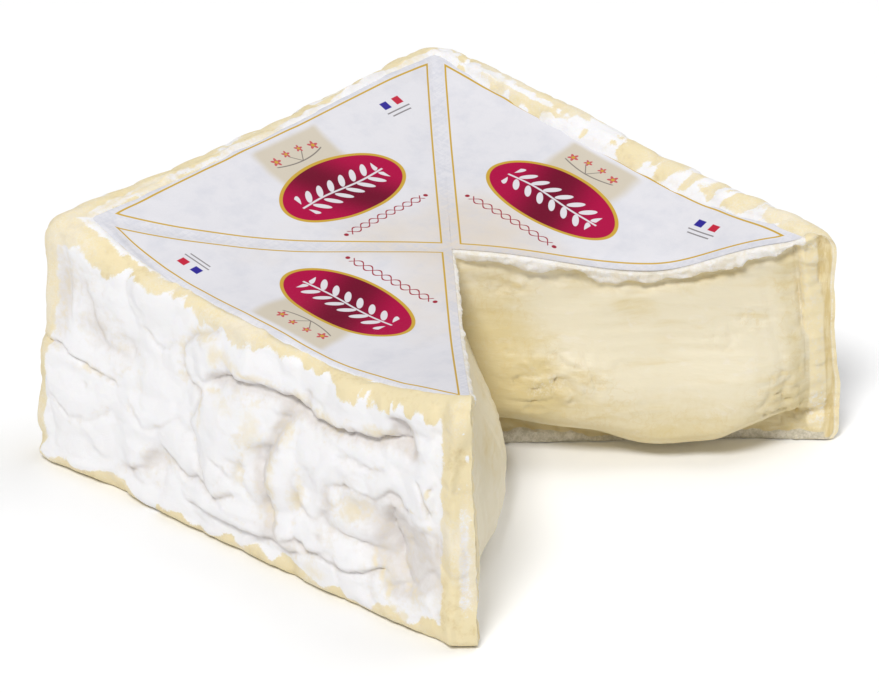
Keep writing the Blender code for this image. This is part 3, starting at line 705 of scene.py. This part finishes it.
def swept_block(name, columns, rows, steps_by_quarter):
    """A band bent round the block and two upright sheets that close it, as one mesh.

    Returns the object and each vertex's turn, column and row.
    """
    steps = sum(steps_by_quarter)
    bpy.ops.object.select_all(action="DESELECT")
    bpy.ops.mesh.primitive_grid_add(x_subdivisions=steps, y_subdivisions=2 * columns + rows, size=1.0)
    block = bpy.context.object
    block.name = name
    block.data.name = name
    bend_band(block, columns, rows)
    bpy.ops.object.mode_set(mode="EDIT")
    add_upright_grid(columns, rows, START_ANGLE)
    add_upright_grid(columns, rows, START_ANGLE + SWEEP_ANGLE)
    bpy.ops.mesh.select_all(action="SELECT")
    bpy.ops.mesh.remove_doubles(threshold=1e-5)
    bpy.ops.mesh.normals_make_consistent(inside=False)
    bpy.ops.object.mode_set(mode="OBJECT")
    places = vertex_places(block.data)
    column = np.rint(np.hypot(places[:, 0], places[:, 1]) * columns)
    row = np.rint(places[:, 2] * rows)
    angle = np.arctan2(places[:, 1], places[:, 0]) - START_ANGLE
    angle = np.where(angle < -1e-3, angle + 2.0 * math.pi, angle)
    step = np.clip(np.rint(angle / SWEEP_ANGLE * steps), 0, steps)
    edges = np.concatenate(([0], np.cumsum(steps_by_quarter)))
    quarter = np.clip(np.searchsorted(edges, step, side="right") - 1, 0, QUARTERS_LEFT - 1)
    share = (step - edges[quarter]) / np.array(steps_by_quarter)[quarter]
    share = share - CORNER_CROWDING * np.sin(2.0 * math.pi * share) / (2.0 * math.pi)
    turn = np.where(column < 0.5, 0.5 * QUARTERS_LEFT, quarter + share)
    return block, turn, column, row


def shape_vertices(block, x, y, z):
    places = (np.stack((x, y, z), axis=1) + CENTRE_PLACE) * MM
    block.data.vertices.foreach_set("co", places.astype(np.float32).ravel())
    block.data.update()


def keep_mask(block, name, values):
    """Stores a number for each vertex, for the material to read."""
    mask = block.data.attributes.new(name=name, type="FLOAT", domain="POINT")
    mask.data.foreach_set("value", np.clip(values, 0.0, 1.0).astype(np.float32))


def push_cut(form, x, y, height, turn, column, top):
    """Pushes the two cut faces out into the open quarter. Returns their masks as well."""
    middle = column < 0.5
    masks = {name: np.zeros(x.shape) for name in CUT_MASKS}
    cuts = (
        ((turn < 1e-4) | middle, (1.0, -1.0), (-1.0, -1.0), RIGHT_CUT_REACH, RIGHT_CUT_FOOT, 0),
        ((turn > QUARTERS_LEFT - 1e-4) & ~middle, (-1.0, -1.0), (1.0, -1.0), FRONT_CUT_REACH, FRONT_CUT_FOOT, 1),
    )
    for on_cut, along, outwards, reach, foot, mirror in cuts:
        here = np.flatnonzero(on_cut)
        run = (x[here] * along[0] + y[here] * along[1]) / DIAGONAL
        level = height[here]
        relief, *parts = form.cut_details(run, level, top[here], foot, mirror)
        loose = ease(0.0, 0.8, top[here] - level) * ease(0.0, 0.8, level) * ease(0.0, 1.5, CUT_LENGTH - 1.5 - run)
        loose = loose * ease(0.0, 6.0, run + 1.0)
        push = (form.paste_bulge(run, level, reach, foot) + relief * loose) / DIAGONAL
        shift = push * np.clip(1.0 - run / CUT_LENGTH, 0.0, 1.0)
        x[here] = x[here] + push * outwards[0] + shift * along[0]
        y[here] = y[here] + push * outwards[1] + shift * along[1]
        for name, values in zip(CUT_MASKS, parts):
            masks[name][here] = values
    return x, y, masks


def thin_hidden_faces(block, hidden, faces_left):
    """Merges the small faces between the marked vertices, which nobody sees, into a few large ones."""
    group = block.vertex_groups.new(name="hidden")
    group.add([int(index) for index in np.flatnonzero(hidden)], 1.0, "REPLACE")
    triangles = sum(len(face.vertices) - 2 for face in block.data.polygons)
    spare = 2 * int(hidden.sum()) - faces_left
    thin = block.modifiers.new("thin_hidden", "DECIMATE")
    thin.vertex_group = group.name
    thin.ratio = 1.0 - spare / triangles
    bpy.ops.object.modifier_apply(modifier=thin.name)
    block.vertex_groups.clear()


class CHEESE_OT_block(bpy.types.Operator):
    """Make the cheese: rind, white mould and soft cut faces in one body"""

    bl_idname = "cheese.make_block"
    bl_label = "Make the cheese"

    def execute(self, context):
        form = CheeseForm(context.scene.cheese_shape)
        columns = PAPER_COLUMNS + EDGE_COLUMNS
        rows = FOOT_ROWS + WALL_ROWS + RIM_ROWS
        block, turn, column, row = swept_block("cheese_block", columns, rows, BLOCK_STEPS)
        wall_inset, wall_height, share_up, painted_shade = form.wall_point(row, turn)
        edge = np.clip((column - PAPER_COLUMNS) / EDGE_COLUMNS, 0.0, 1.0)
        inner_inset = form.column_inset(column, PAPER_COLUMNS, form.label_inset)
        inset = inner_inset * (1.0 - edge) + wall_inset * edge
        x, y = form.outline(turn, inset)
        top = form.top_height(turn, inset, x, y)
        height = np.where(edge > 0.999, wall_height, share_up * top)
        x, y, masks = push_cut(form, x, y, height, turn, column, top)
        on_top = row > rows - 0.5
        cut_depth = np.minimum(np.abs(x + y), np.where(y < x, 99.0, np.abs(x - y))) / DIAGONAL
        paper_edge = form.label_inset + follow(PAPER_SETBACK, turn)
        hidden = ease(1.0, 2.5, inset - paper_edge) * ease(0.8, 2.0, cut_depth) * on_top
        rind, stain, fluff = form.rind_masks(turn, inset, height, follow(RIM_HEIGHT, turn), x, y)
        height = height + form.rim_lumps(turn, inset, x, y) * on_top
        height = height - 0.8 * hidden
        shape_vertices(block, x, y, height)
        on_cut = (turn < 1e-4) | (turn > QUARTERS_LEFT - 1e-4) | (column < 0.5)
        at_wall = edge > 0.999
        inside = on_cut & ~at_wall
        keep_mask(block, "paste", np.where(inside, 1.0, 0.0))
        keep_mask(block, "yellow", np.where(inside, 0.0, rind))
        keep_mask(block, "stain", np.where(inside, 0.0, stain))
        # Painted shade in the groove between the rim and the label's edge, more on the back rims.
        in_groove = on_top * bell(inset - paper_edge + 1.2, 1.3) * (0.25 + 0.35 * ease(0.9, 1.1, turn) * (turn < 2.0))
        keep_mask(block, "painted_shade", np.maximum(painted_shade * at_wall, in_groove))
        for name, values in masks.items():
            keep_mask(block, name, np.where(inside, values, 0.0))
        on_foot = (row < 0.5) & (edge < 0.999) & ~on_cut
        thin_hidden_faces(block, on_foot | (hidden > 0.999) & ~on_cut, HIDDEN_FACES)
        bpy.ops.object.shade_smooth_by_angle(angle=math.radians(60.0))
        block.data.materials.append(cheese_material(context.scene.cheese_colours))
        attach(block, "root")
        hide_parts("cheese")
        return {"FINISHED"}


class CHEESE_OT_label(bpy.types.Operator):
    """Make the paper label that lies on the top, cut flush with the cut faces"""

    bl_idname = "cheese.make_label"
    bl_label = "Make the label"

    def execute(self, context):
        form = CheeseForm(context.scene.cheese_shape)
        look = context.scene.cheese_label
        sheet, turn, column, row = swept_block("paper_label", PAPER_SHEET_COLUMNS, 1, PAPER_STEPS)
        edge = form.label_inset + follow(PAPER_SETBACK, turn)
        inset = form.column_inset(column, PAPER_SHEET_COLUMNS, edge)
        x, y = form.outline(turn, inset)
        cut_depth = np.minimum(np.abs(x + y), np.where(y < x, 99.0, np.abs(x - y))) / DIAGONAL
        lifted = look.gap / MM + self.waves(form, turn, inset, x, y)
        lifted = lifted * (0.3 + 0.7 * ease(0.0, 5.0, cut_depth))
        height = form.top_height(turn, inset, x, y) + lifted + look.thickness / MM * row
        shape_vertices(sheet, x, y, height)
        bpy.ops.object.shade_smooth_by_angle(angle=math.radians(50.0))
        sheet.data.materials.append(label_material(look))
        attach(sheet, "root")
        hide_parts("label")
        return {"FINISHED"}

    def waves(self, form, turn, inset, x, y):
        """Low waves of damp paper, and ripples along its edges."""
        place = np.stack((x, y, np.zeros(x.shape)), axis=1)
        slow = 0.2 * form.coarse.at(place, 16.0) + 0.1 * form.fine.at(place, 7.0)
        edge = form.label_inset + follow(PAPER_SETBACK, turn)
        ripple = 0.22 * form.fine.at(place, 5.0) * bell(inset - edge, 3.0)
        tucked = 0.75 * bell(inset - edge, 0.8)
        return np.maximum(0.12 + slow + ripple, 0.04) - tucked


# Materials


class Value:
    """A shader socket that takes part in Python sums, each of which adds a Math node."""

    def __init__(self, finish, socket):
        self.finish = finish
        self.socket = socket

    def math(self, operation, *others):
        settings = {"operation": operation}
        node = self.finish.node("ShaderNodeMath", settings, {index: item for index, item in enumerate((self, *others))})
        return Value(self.finish, node.outputs[0])

    def flipped(self, operation, other):
        node = self.finish.node("ShaderNodeMath", {"operation": operation}, {0: other, 1: self})
        return Value(self.finish, node.outputs[0])

    def __add__(self, other):
        return self.math("ADD", other)

    def __radd__(self, other):
        return self.math("ADD", other)

    def __sub__(self, other):
        return self.math("SUBTRACT", other)

    def __rsub__(self, other):
        return self.flipped("SUBTRACT", other)

    def __mul__(self, other):
        return self.math("MULTIPLY", other)

    def __rmul__(self, other):
        return self.math("MULTIPLY", other)

    def __truediv__(self, other):
        return self.math("DIVIDE", other)

    def __pow__(self, other):
        return self.math("POWER", other)

    def __neg__(self):
        return self.math("MULTIPLY", -1.0)

    def __abs__(self):
        return self.math("ABSOLUTE")

    def __gt__(self, other):
        return self.math("GREATER_THAN", other)

    def __lt__(self, other):
        return self.math("LESS_THAN", other)

    def larger(self, other):
        return self.math("MAXIMUM", other)

    def smaller(self, other):
        return self.math("MINIMUM", other)

    def step(self, low, high):
        """0 below low and 1 above high, with a smooth step between them."""
        settings = {"interpolation_type": "SMOOTHSTEP", "clamp": True}
        inputs = {"Value": self, "From Min": low, "From Max": high, "To Min": 0.0, "To Max": 1.0}
        node = self.finish.node("ShaderNodeMapRange", settings, inputs)
        return Value(self.finish, node.outputs["Result"])


class Finish:
    """A material under construction: its nodes, its shader and its colour mixes."""

    def __init__(self, name):
        self.material = bpy.data.materials.new(name)
        self.material.use_nodes = True
        self.tree = self.material.node_tree
        self.tree.nodes.clear()
        self.shader = self.tree.nodes.new("ShaderNodeBsdfPrincipled")
        output = self.tree.nodes.new("ShaderNodeOutputMaterial")
        self.tree.links.new(self.shader.outputs["BSDF"], output.inputs["Surface"])

    def node(self, kind, settings=None, inputs=None):
        """A node of any kind: its settings are set first, then its sockets' values or links."""
        node = self.tree.nodes.new(kind)
        for name, value in (settings or {}).items():
            setattr(node, name, value)
        for name, value in (inputs or {}).items():
            self.feed(node.inputs[name], value)
        return node

    def feed(self, socket, value):
        if isinstance(value, Value):
            self.tree.links.new(value.socket, socket)
        elif isinstance(value, bpy.types.NodeSocket):
            self.tree.links.new(value, socket)
        elif socket.type == "RGBA" and len(value) == 3:
            socket.default_value = (*value, 1.0)
        else:
            socket.default_value = value

    def value(self, socket):
        return Value(self, socket)

    def mask(self, name):
        node = self.node("ShaderNodeAttribute", {"attribute_name": name})
        return Value(self, node.outputs["Fac"])

    def place(self):
        """Object coordinates in millimetres about the middle of the block."""
        coordinates = self.node("ShaderNodeTexCoord").outputs["Object"]
        centred = self.node(
            "ShaderNodeVectorMath", {"operation": "SUBTRACT"}, {0: coordinates, 1: tuple(CENTRE_PLACE * MM)}
        )
        scaled = self.node("ShaderNodeVectorMath", {"operation": "SCALE"}, {0: centred.outputs[0], "Scale": 1.0 / MM})
        return scaled.outputs[0]

    def stretched(self, vector, factors):
        node = self.node("ShaderNodeVectorMath", {"operation": "MULTIPLY"}, {0: vector, 1: factors})
        return node.outputs[0]

    def noise(self, vector, grain, detail=3.0, roughness=0.5, distortion=0.0):
        """Noise between 0 and 1 whose grains are about the given size in millimetres."""
        inputs = {"Vector": vector, "Scale": 1.0 / grain, "Detail": detail, "Roughness": roughness, "Distortion": distortion}
        node = self.node("ShaderNodeTexNoise", {"noise_dimensions": "3D"}, inputs)
        return Value(self, node.outputs["Fac"])

    def blend(self, factor, first, second):
        """A colour between two others."""
        node = self.node("ShaderNodeMix", {"data_type": "RGBA", "clamp_factor": True})
        self.feed(node.inputs[0], factor)
        self.feed(node.inputs[6], first)
        self.feed(node.inputs[7], second)
        return node.outputs[2]

    def finish(self, colour, roughness, height=None, bump_distance=0.0002, bump_strength=1.0):
        self.feed(self.shader.inputs["Base Color"], colour)
        self.feed(self.shader.inputs["Roughness"], roughness)
        if height is not None:
            inputs = {"Strength": bump_strength, "Distance": bump_distance, "Height": height}
            bump = self.node("ShaderNodeBump", {}, inputs)
            self.feed(self.shader.inputs["Normal"], bump.outputs["Normal"])
        return self.material


def cheese_material(colours):
    """White mould over yellow rind, and the cream and paste of the cut faces."""
    finish = Finish("cheese_rind_and_paste")
    place = finish.place()
    paste_mask = finish.mask("paste")
    skin = finish.mask("skin")
    under = finish.mask("under")
    end = finish.mask("end")
    cream_and_painted_shade = finish.mask("cream_and_painted_shade")
    torn = finish.mask("torn")
    side = finish.mask("side")
    painted_shade = finish.mask("painted_shade")
    fine = finish.noise(place, 0.55, 4.0, 0.6)
    speck = finish.noise(place, 1.6, 3.0, 0.55)
    patchy = finish.noise(place, 7.0, 3.0, 0.5)
    broad = finish.noise(place, 22.0, 2.0, 0.5)

    # White mould: whiter and greyer patches, painted shade in the folds and hollows, over stained and bare rind
    mould_tone = (painted_shade * 0.7 + (patchy - 0.5) * 0.6 + (speck - 0.5) * 0.4).step(0.04, 1.0)
    mould = finish.blend(mould_tone * 0.85, colours.mould, colours.mould_painted_shade)
    beside_folds = painted_shade.step(0.05, 0.25) * (patchy + (speck - 0.5) * 0.5).step(0.42, 0.66)
    stained = (finish.mask("stain") * 0.9 + beside_folds * 0.28 + (speck - 0.5) * 0.55).step(0.1, 0.95)
    mould = finish.blend(stained * 0.62, mould, colours.rind)
    yellow = (finish.mask("yellow") + (speck - 0.5) * 0.6 + (fine - 0.5) * 0.9).step(0.24, 0.7)
    rind_tone = ((patchy - 0.5) * 1.6 + (speck - 0.5) * 1.2 + (fine - 0.5) * 0.5 + 0.2).step(0.1, 1.0)
    rind = finish.blend(rind_tone * 0.8, colours.rind, colours.rind_dark)
    dust = ((broad - 0.5) * 1.2 + fine * 0.7 + speck * 0.5).step(0.55, 0.9)
    rind = finish.blend(dust * 0.35, rind, colours.mould)
    outside = finish.blend(yellow, mould, rind)

    # Cut faces: skin, creamline with painted shade towards the middle and the foot, paste with yellow streaks, and the
    # fuzzy foot
    streaks = finish.noise(finish.stretched(place, (0.35, 0.35, 1.6)), 5.0, 4.0, 0.55, 0.6)
    paste_tone = ((streaks - 0.5) * 1.3 + (broad - 0.5) * 0.9 + torn * 0.35).step(0.0, 0.62)
    paste = finish.blend(paste_tone * 0.9, colours.paste, colours.paste_deep)
    # The creamline's colour, which also paints shade towards the middle and the foot.
    cream_and_shade_tone = (cream_and_painted_shade + (speck - 0.5) * 0.35 + (streaks - 0.5) * 0.5).step(0.1, 0.95)
    paste = finish.blend(cream_and_shade_tone * 0.9, paste, colours.creamline_and_painted_shade)
    veins = abs(finish.noise(place, 6.0, 4.0, 0.6, 0.4) - 0.5).step(0.03, 0.0) * (cream_and_painted_shade + torn + patchy * 0.6).step(0.5, 0.9)
    paste = finish.blend(veins * 0.3, paste, colours.rind_dark)
    pale = finish.noise(finish.stretched(place, (0.6, 0.6, 1.0)), 3.2, 4.0, 0.6, 0.5).step(0.56, 0.72)
    paste = finish.blend(pale * (0.45 - cream_and_painted_shade * 0.3), paste, colours.skin)
    skin_colour = finish.blend((patchy + (speck - 0.5)).step(0.3, 0.7) * 0.7, colours.skin, colours.mould)
    foot_colour = finish.blend((speck + (fine - 0.5) * 0.8).step(0.3, 0.75) * 0.7, colours.foot_rind, colours.skin)
    side_colour = finish.blend((speck + (fine - 0.5) * 0.5).step(0.45, 0.75) * 0.6, colours.rind, colours.skin)
    paste = finish.blend((side + (fine - 0.5) * 0.3).step(0.35, 0.65), paste, side_colour)
    crumbs = torn.step(0.75, 1.1) * (speck * 0.6 + fine * 0.6).step(0.55, 0.75)
    paste = finish.blend(crumbs * 0.6, paste, colours.mould)
    paste = finish.blend((skin + (fine - 0.5) * 0.3).step(0.4, 0.6), paste, skin_colour)
    paste = finish.blend((under + (fine - 0.5) * 0.3).step(0.4, 0.6), paste, foot_colour)
    upright = finish.noise(finish.stretched(place, (1.0, 1.0, 0.12)), 1.3, 3.0, 0.6)
    end_tone = ((upright - 0.5) * 1.8 + (patchy - 0.5) * 0.8 + 0.65).step(0.1, 1.0)
    end_colour = finish.blend(end_tone, colours.rind, colours.rind_dark)
    end_colour = finish.blend((speck + (fine - 0.5) * 0.6).step(0.66, 0.8) * 0.7, end_colour, colours.skin)
    paste = finish.blend(end.step(0.3, 0.7), paste, end_colour)
    colour = finish.blend(paste_mask.step(0.4, 0.6), outside, paste)

    fuzzy = skin.larger(under).larger(side).larger(1.0 - paste_mask)
    roughness = 0.48 + fuzzy * 0.34
    fuzz = fine * 0.5 + finish.noise(place, 0.22, 2.0, 0.6) * 0.35 + speck * 0.5
    wet = finish.noise(finish.stretched(place, (0.5, 0.5, 1.8)), 1.4, 3.0, 0.5) * (0.25 + torn * 0.8)
    height = fuzz * fuzzy + wet * (1.0 - fuzzy)
    finish.shader.inputs["Subsurface Weight"].default_value = 0.1
    finish.shader.inputs["Subsurface Radius"].default_value = (1.0, 0.8, 0.5)
    finish.shader.inputs["Subsurface Scale"].default_value = 0.0012
    return finish.finish(colour, roughness, height, 0.0003, 0.7)


def label_material(look):
    """Satin paper with gold triangles, badges with a sprig, blossoms and small squares."""
    finish = Finish("label_paper")
    place = finish.place()
    split = finish.node("ShaderNodeSeparateXYZ", {}, {0: place})
    x = finish.value(split.outputs[0])
    y = finish.value(split.outputs[1])
    on_back = y - abs(x) > 0.0
    sign = (x > 0.0) * 2.0 - 1.0
    across = on_back * x - (1.0 - on_back) * y * sign
    out = y.larger(abs(x))
    grain = finish.noise(place, 0.6, 2.0, 0.5)
    cloudy = finish.noise(place, 24.0, 3.0, 0.5)

    def dot(u, v, radius, soft=0.15):
        """A round spot in a quarter's own directions, along its side and outwards."""
        distance = ((across - u) ** 2.0 + (out - v) ** 2.0) ** 0.5
        return (distance - radius).step(soft, -soft)

    def box(u, v, half_u, half_v, soft=0.12):
        edge = (abs(across - u) - half_u).larger(abs(out - v) - half_v)
        return (edge).step(soft, -soft)

    warm = (cloudy - 0.5 + (32.0 - out) / 70.0).step(-0.15, 0.45)
    colour = finish.blend(warm, look.paper, look.paper_warm)
    # Grey mottling: painted shade of the damp paper's low waves.
    mottled = finish.noise(place, 8.0, 5.0, 0.62).step(0.42, 0.74)
    colour = finish.blend(mottled * 0.4, colour, look.margin)

    # Blossoms on a soft beige ground near the outer side
    ground = (abs(across - 0.5) + (cloudy - 0.5) * 6.0).step(14.5, 11.0) * (abs(out - 58.6)).step(8.2, 6.4)
    colour = finish.blend(ground * 0.85, colour, look.patch)
    stem = (abs(out - 57.0 - (across * across) * 0.02) - 0.2).step(0.14, -0.14) * (abs(across) - 9.0).step(0.3, -0.3)
    stem = stem.larger((abs(across - (out - 57.0) * 0.8) - 0.18).step(0.14, -0.14) * (abs(out - 58.6) - 1.8).step(0.2, -0.2))
    stem = stem.larger((abs(across + (out - 57.0) * 0.8) - 0.18).step(0.14, -0.14) * (abs(out - 58.6) - 1.8).step(0.2, -0.2))
    colour = finish.blend(stem * 0.8, colour, look.ink)
    for u, v, size in ((-7.5, 60.4, 1.5), (-2.6, 61.4, 1.2), (2.6, 61.4, 1.2), (7.5, 60.4, 1.5)):
        angle = (out - v).math("ARCTAN2", across - u)
        radius = ((across - u) ** 2.0 + (out - v) ** 2.0) ** 0.5
        petals = (radius - (angle * 5.0).math("COSINE") * (0.3 * size) - 0.85 * size).step(0.15, -0.15)
        colour = finish.blend(petals * 0.85, colour, look.red)
        colour = finish.blend(dot(u, v, 0.38 * size), colour, look.gold)

    # Gold triangle along the edges of the quarter
    border = (out - 67.6).larger((abs(across) - out + 3.8) * (1.0 / DIAGONAL))
    # Grey streaks on the folded margins beyond the gold line: painted shade of the paper's folds.
    along_fold = finish.noise(finish.stretched(place, (0.12, 1.0, 1.0)), 0.9, 3.0, 0.6)
    across_fold = finish.noise(finish.stretched(place, (1.0, 0.12, 1.0)), 0.9, 3.0, 0.6)
    folded = (along_fold + across_fold - 0.7).step(0.1, 0.5) * border.step(0.2, 0.9)
    colour = finish.blend(folded * 0.5, colour, look.margin)
    line = (abs(border) - 0.26).step(0.1, -0.1)
    colour = finish.blend(line, colour, look.gold)

    # Badge with a gold rim and a white sprig
    u = across - 0.5
    v = out - 42.0
    outer = ((u / 22.5) ** 2.0 + (v / 12.8) ** 2.0) ** 0.5
    inner = ((u / 21.4) ** 2.0 + (v / 11.8) ** 2.0) ** 0.5
    colour = finish.blend((outer - 1.0).step(0.006, -0.006), colour, look.gold)
    shade = (abs(u + v * 0.4) / 20.0 + (grain - 0.5) * 0.08).step(0.05, 0.8)
    inside = finish.blend(shade, look.badge_dark, look.badge)
    leaf = u + 18.0
    cell = (leaf / 4.5).math("FLOOR")
    offset = leaf - cell * 4.5 - 2.25
    lift = abs(v) - 2.7
    first = (offset * 0.62 + lift * 0.78) / 2.7
    second = (lift * 0.62 - offset * 0.78) / 0.95
    leaves = (first * first + second * second - 1.0).step(0.12, -0.12) * (abs(u) - 15.6).step(0.1, -0.1)
    twig = (abs(v + (u * 0.22).math("SINE") * 0.35) - 0.32).step(0.12, -0.12) * (abs(u) - 16.5).step(0.2, -0.2)
    inside = finish.blend(leaves.larger(twig) * 0.94, inside, look.paper)
    colour = finish.blend((inner - 1.0).step(0.006, -0.006), colour, inside)

    # Two strands of a twisted cord between the badge and the middle of the block
    strand = (across * 0.9).math("SINE") * 1.3
    cord = (abs(out - 24.8 - strand) - 0.24).step(0.12, -0.12).larger((abs(out - 24.8 + strand) - 0.24).step(0.12, -0.12))
    cord = cord * (abs(across) - 15.0).step(0.2, -0.2)
    colour = finish.blend(cord.larger(dot(-16.4, 24.8, 0.7)).larger(dot(16.4, 24.8, 0.7)), colour, look.ornament)

    # Small squares and two grey lines at the end of the quarter
    colour = finish.blend(box(39.2, 61.4, 1.35, 1.3), colour, look.blue)
    colour = finish.blend(box(44.2, 61.4, 1.35, 1.3), colour, look.red)
    colour = finish.blend(box(41.8, 58.6, 4.6, 0.22) * 0.8, colour, look.ink)
    colour = finish.blend(box(41.8, 57.2, 3.8, 0.22) * 0.8, colour, look.ink)

    height = grain * 0.5 + finish.noise(place, 2.4, 2.0, 0.5) * 0.5
    finish.shader.inputs["Specular IOR Level"].default_value = 0.15
    return finish.finish(colour, 0.42 + (cloudy - 0.5) * 0.1, height, 0.00012, 0.45)


def floor_material(look):
    finish = Finish("studio_floor")
    return finish.finish(look.floor, 0.9)


# Stage


# The camera in millimetres about the middle of the block, with its angles in degrees
CAMERA_PLACE = (-925.1, -833.0, 717.8)
CAMERA_YAW = 42.15
CAMERA_PITCH = 28.86
CAMERA_ROLL = 0.26
CAMERA_SENSOR = 36.0
CAMERA_LENS = 206.4


class CHEESE_OT_stage(bpy.types.Operator):
    """Make the plain floor, the soft light and the camera"""

    bl_idname = "cheese.make_stage"
    bl_label = "Make the studio"

    def execute(self, context):
        look = context.scene.cheese_studio
        bpy.ops.object.select_all(action="DESELECT")
        bpy.ops.mesh.primitive_plane_add(size=8.0, location=(0.0, 0.0, 0.0))
        floor = context.object
        floor.name = "studio_floor"
        floor.data.materials.append(floor_material(look))
        self.add_light("key_light", look.key_strength, 16.0, (-1.3, -0.55, 2.0))
        self.add_light("top_light", look.top_strength, 34.0, (1.0, -0.35, 2.0))
        world = bpy.data.worlds.new("studio_sky")
        context.scene.world = world
        world.use_nodes = True
        background = world.node_tree.nodes["Background"]
        background.inputs["Color"].default_value = (1.0, 1.0, 1.0, 1.0)
        background.inputs["Strength"].default_value = look.sky
        self.add_camera(context)
        context.scene.view_settings.view_transform = "Standard"
        return {"FINISHED"}

    def add_light(self, name, strength, spread, place):
        """A broad, far light as soft as its spread in degrees, from a place towards the cheese."""
        light = bpy.data.lights.new(name, "SUN")
        light.angle = math.radians(spread)
        light.energy = strength
        lamp = bpy.data.objects.new(name, light)
        bpy.context.scene.collection.objects.link(lamp)
        distance = math.sqrt(sum(value * value for value in place))
        tilt = math.acos(place[2] / distance)
        lamp.location = place
        lamp.rotation_euler = (tilt, 0.0, math.atan2(place[1], place[0]) + math.pi / 2)

    def add_camera(self, context):
        yaw = math.radians(CAMERA_YAW)
        pitch = math.radians(CAMERA_PITCH)
        roll = math.radians(CAMERA_ROLL)
        ahead = np.array((math.cos(yaw) * math.cos(pitch), math.sin(yaw) * math.cos(pitch), -math.sin(pitch)))
        level = np.array((math.sin(yaw), -math.cos(yaw), 0.0))
        above = np.cross(level, ahead)
        right = math.cos(roll) * level + math.sin(roll) * above
        up = math.cos(roll) * above - math.sin(roll) * level
        place = (np.array(CAMERA_PLACE) + CENTRE_PLACE) * MM
        camera = bpy.data.cameras.new("camera")
        camera.sensor_width = CAMERA_SENSOR
        camera.lens = CAMERA_LENS
        viewer = bpy.data.objects.new("camera", camera)
        context.scene.collection.objects.link(viewer)
        rows = [(right[axis], up[axis], -ahead[axis], place[axis]) for axis in range(3)]
        viewer.matrix_world = Matrix((*rows, (0.0, 0.0, 0.0, 1.0)))
        context.scene.camera = viewer


class CHEESE_PT_panel(bpy.types.Panel):
    """Lists the settings and the steps that make the cheese"""

    bl_idname = "CHEESE_PT_panel"
    bl_label = "Triple cream cheese"
    bl_space_type = "VIEW_3D"
    bl_region_type = "UI"
    bl_category = "Cheese"

    def draw(self, context):
        layout = self.layout
        for group in ("cheese_shape", "cheese_colours", "cheese_label", "cheese_studio"):
            settings = getattr(context.scene, group)
            box = layout.box()
            for name in settings.__annotations__:
                box.prop(settings, name)
        for operator in OPERATORS:
            layout.operator(operator.bl_idname)


OPERATORS = (CHEESE_OT_block, CHEESE_OT_label, CHEESE_OT_stage)
CLASSES = (CheeseShape, CheeseColours, LabelPrint, StudioLook, *OPERATORS, CHEESE_PT_panel)


def register():
    for item in CLASSES:
        bpy.utils.register_class(item)
    bpy.types.Scene.cheese_shape = PointerProperty(type=CheeseShape)
    bpy.types.Scene.cheese_colours = PointerProperty(type=CheeseColours)
    bpy.types.Scene.cheese_label = PointerProperty(type=LabelPrint)
    bpy.types.Scene.cheese_studio = PointerProperty(type=StudioLook)


def unregister():
    del bpy.types.Scene.cheese_studio
    del bpy.types.Scene.cheese_label
    del bpy.types.Scene.cheese_colours
    del bpy.types.Scene.cheese_shape
    for item in reversed(CLASSES):
        bpy.utils.unregister_class(item)


def main():
    register()
    bpy.ops.cheese.make_block()
    bpy.ops.cheese.make_label()
    bpy.ops.cheese.make_stage()


if __name__ == "__main__":
    main()
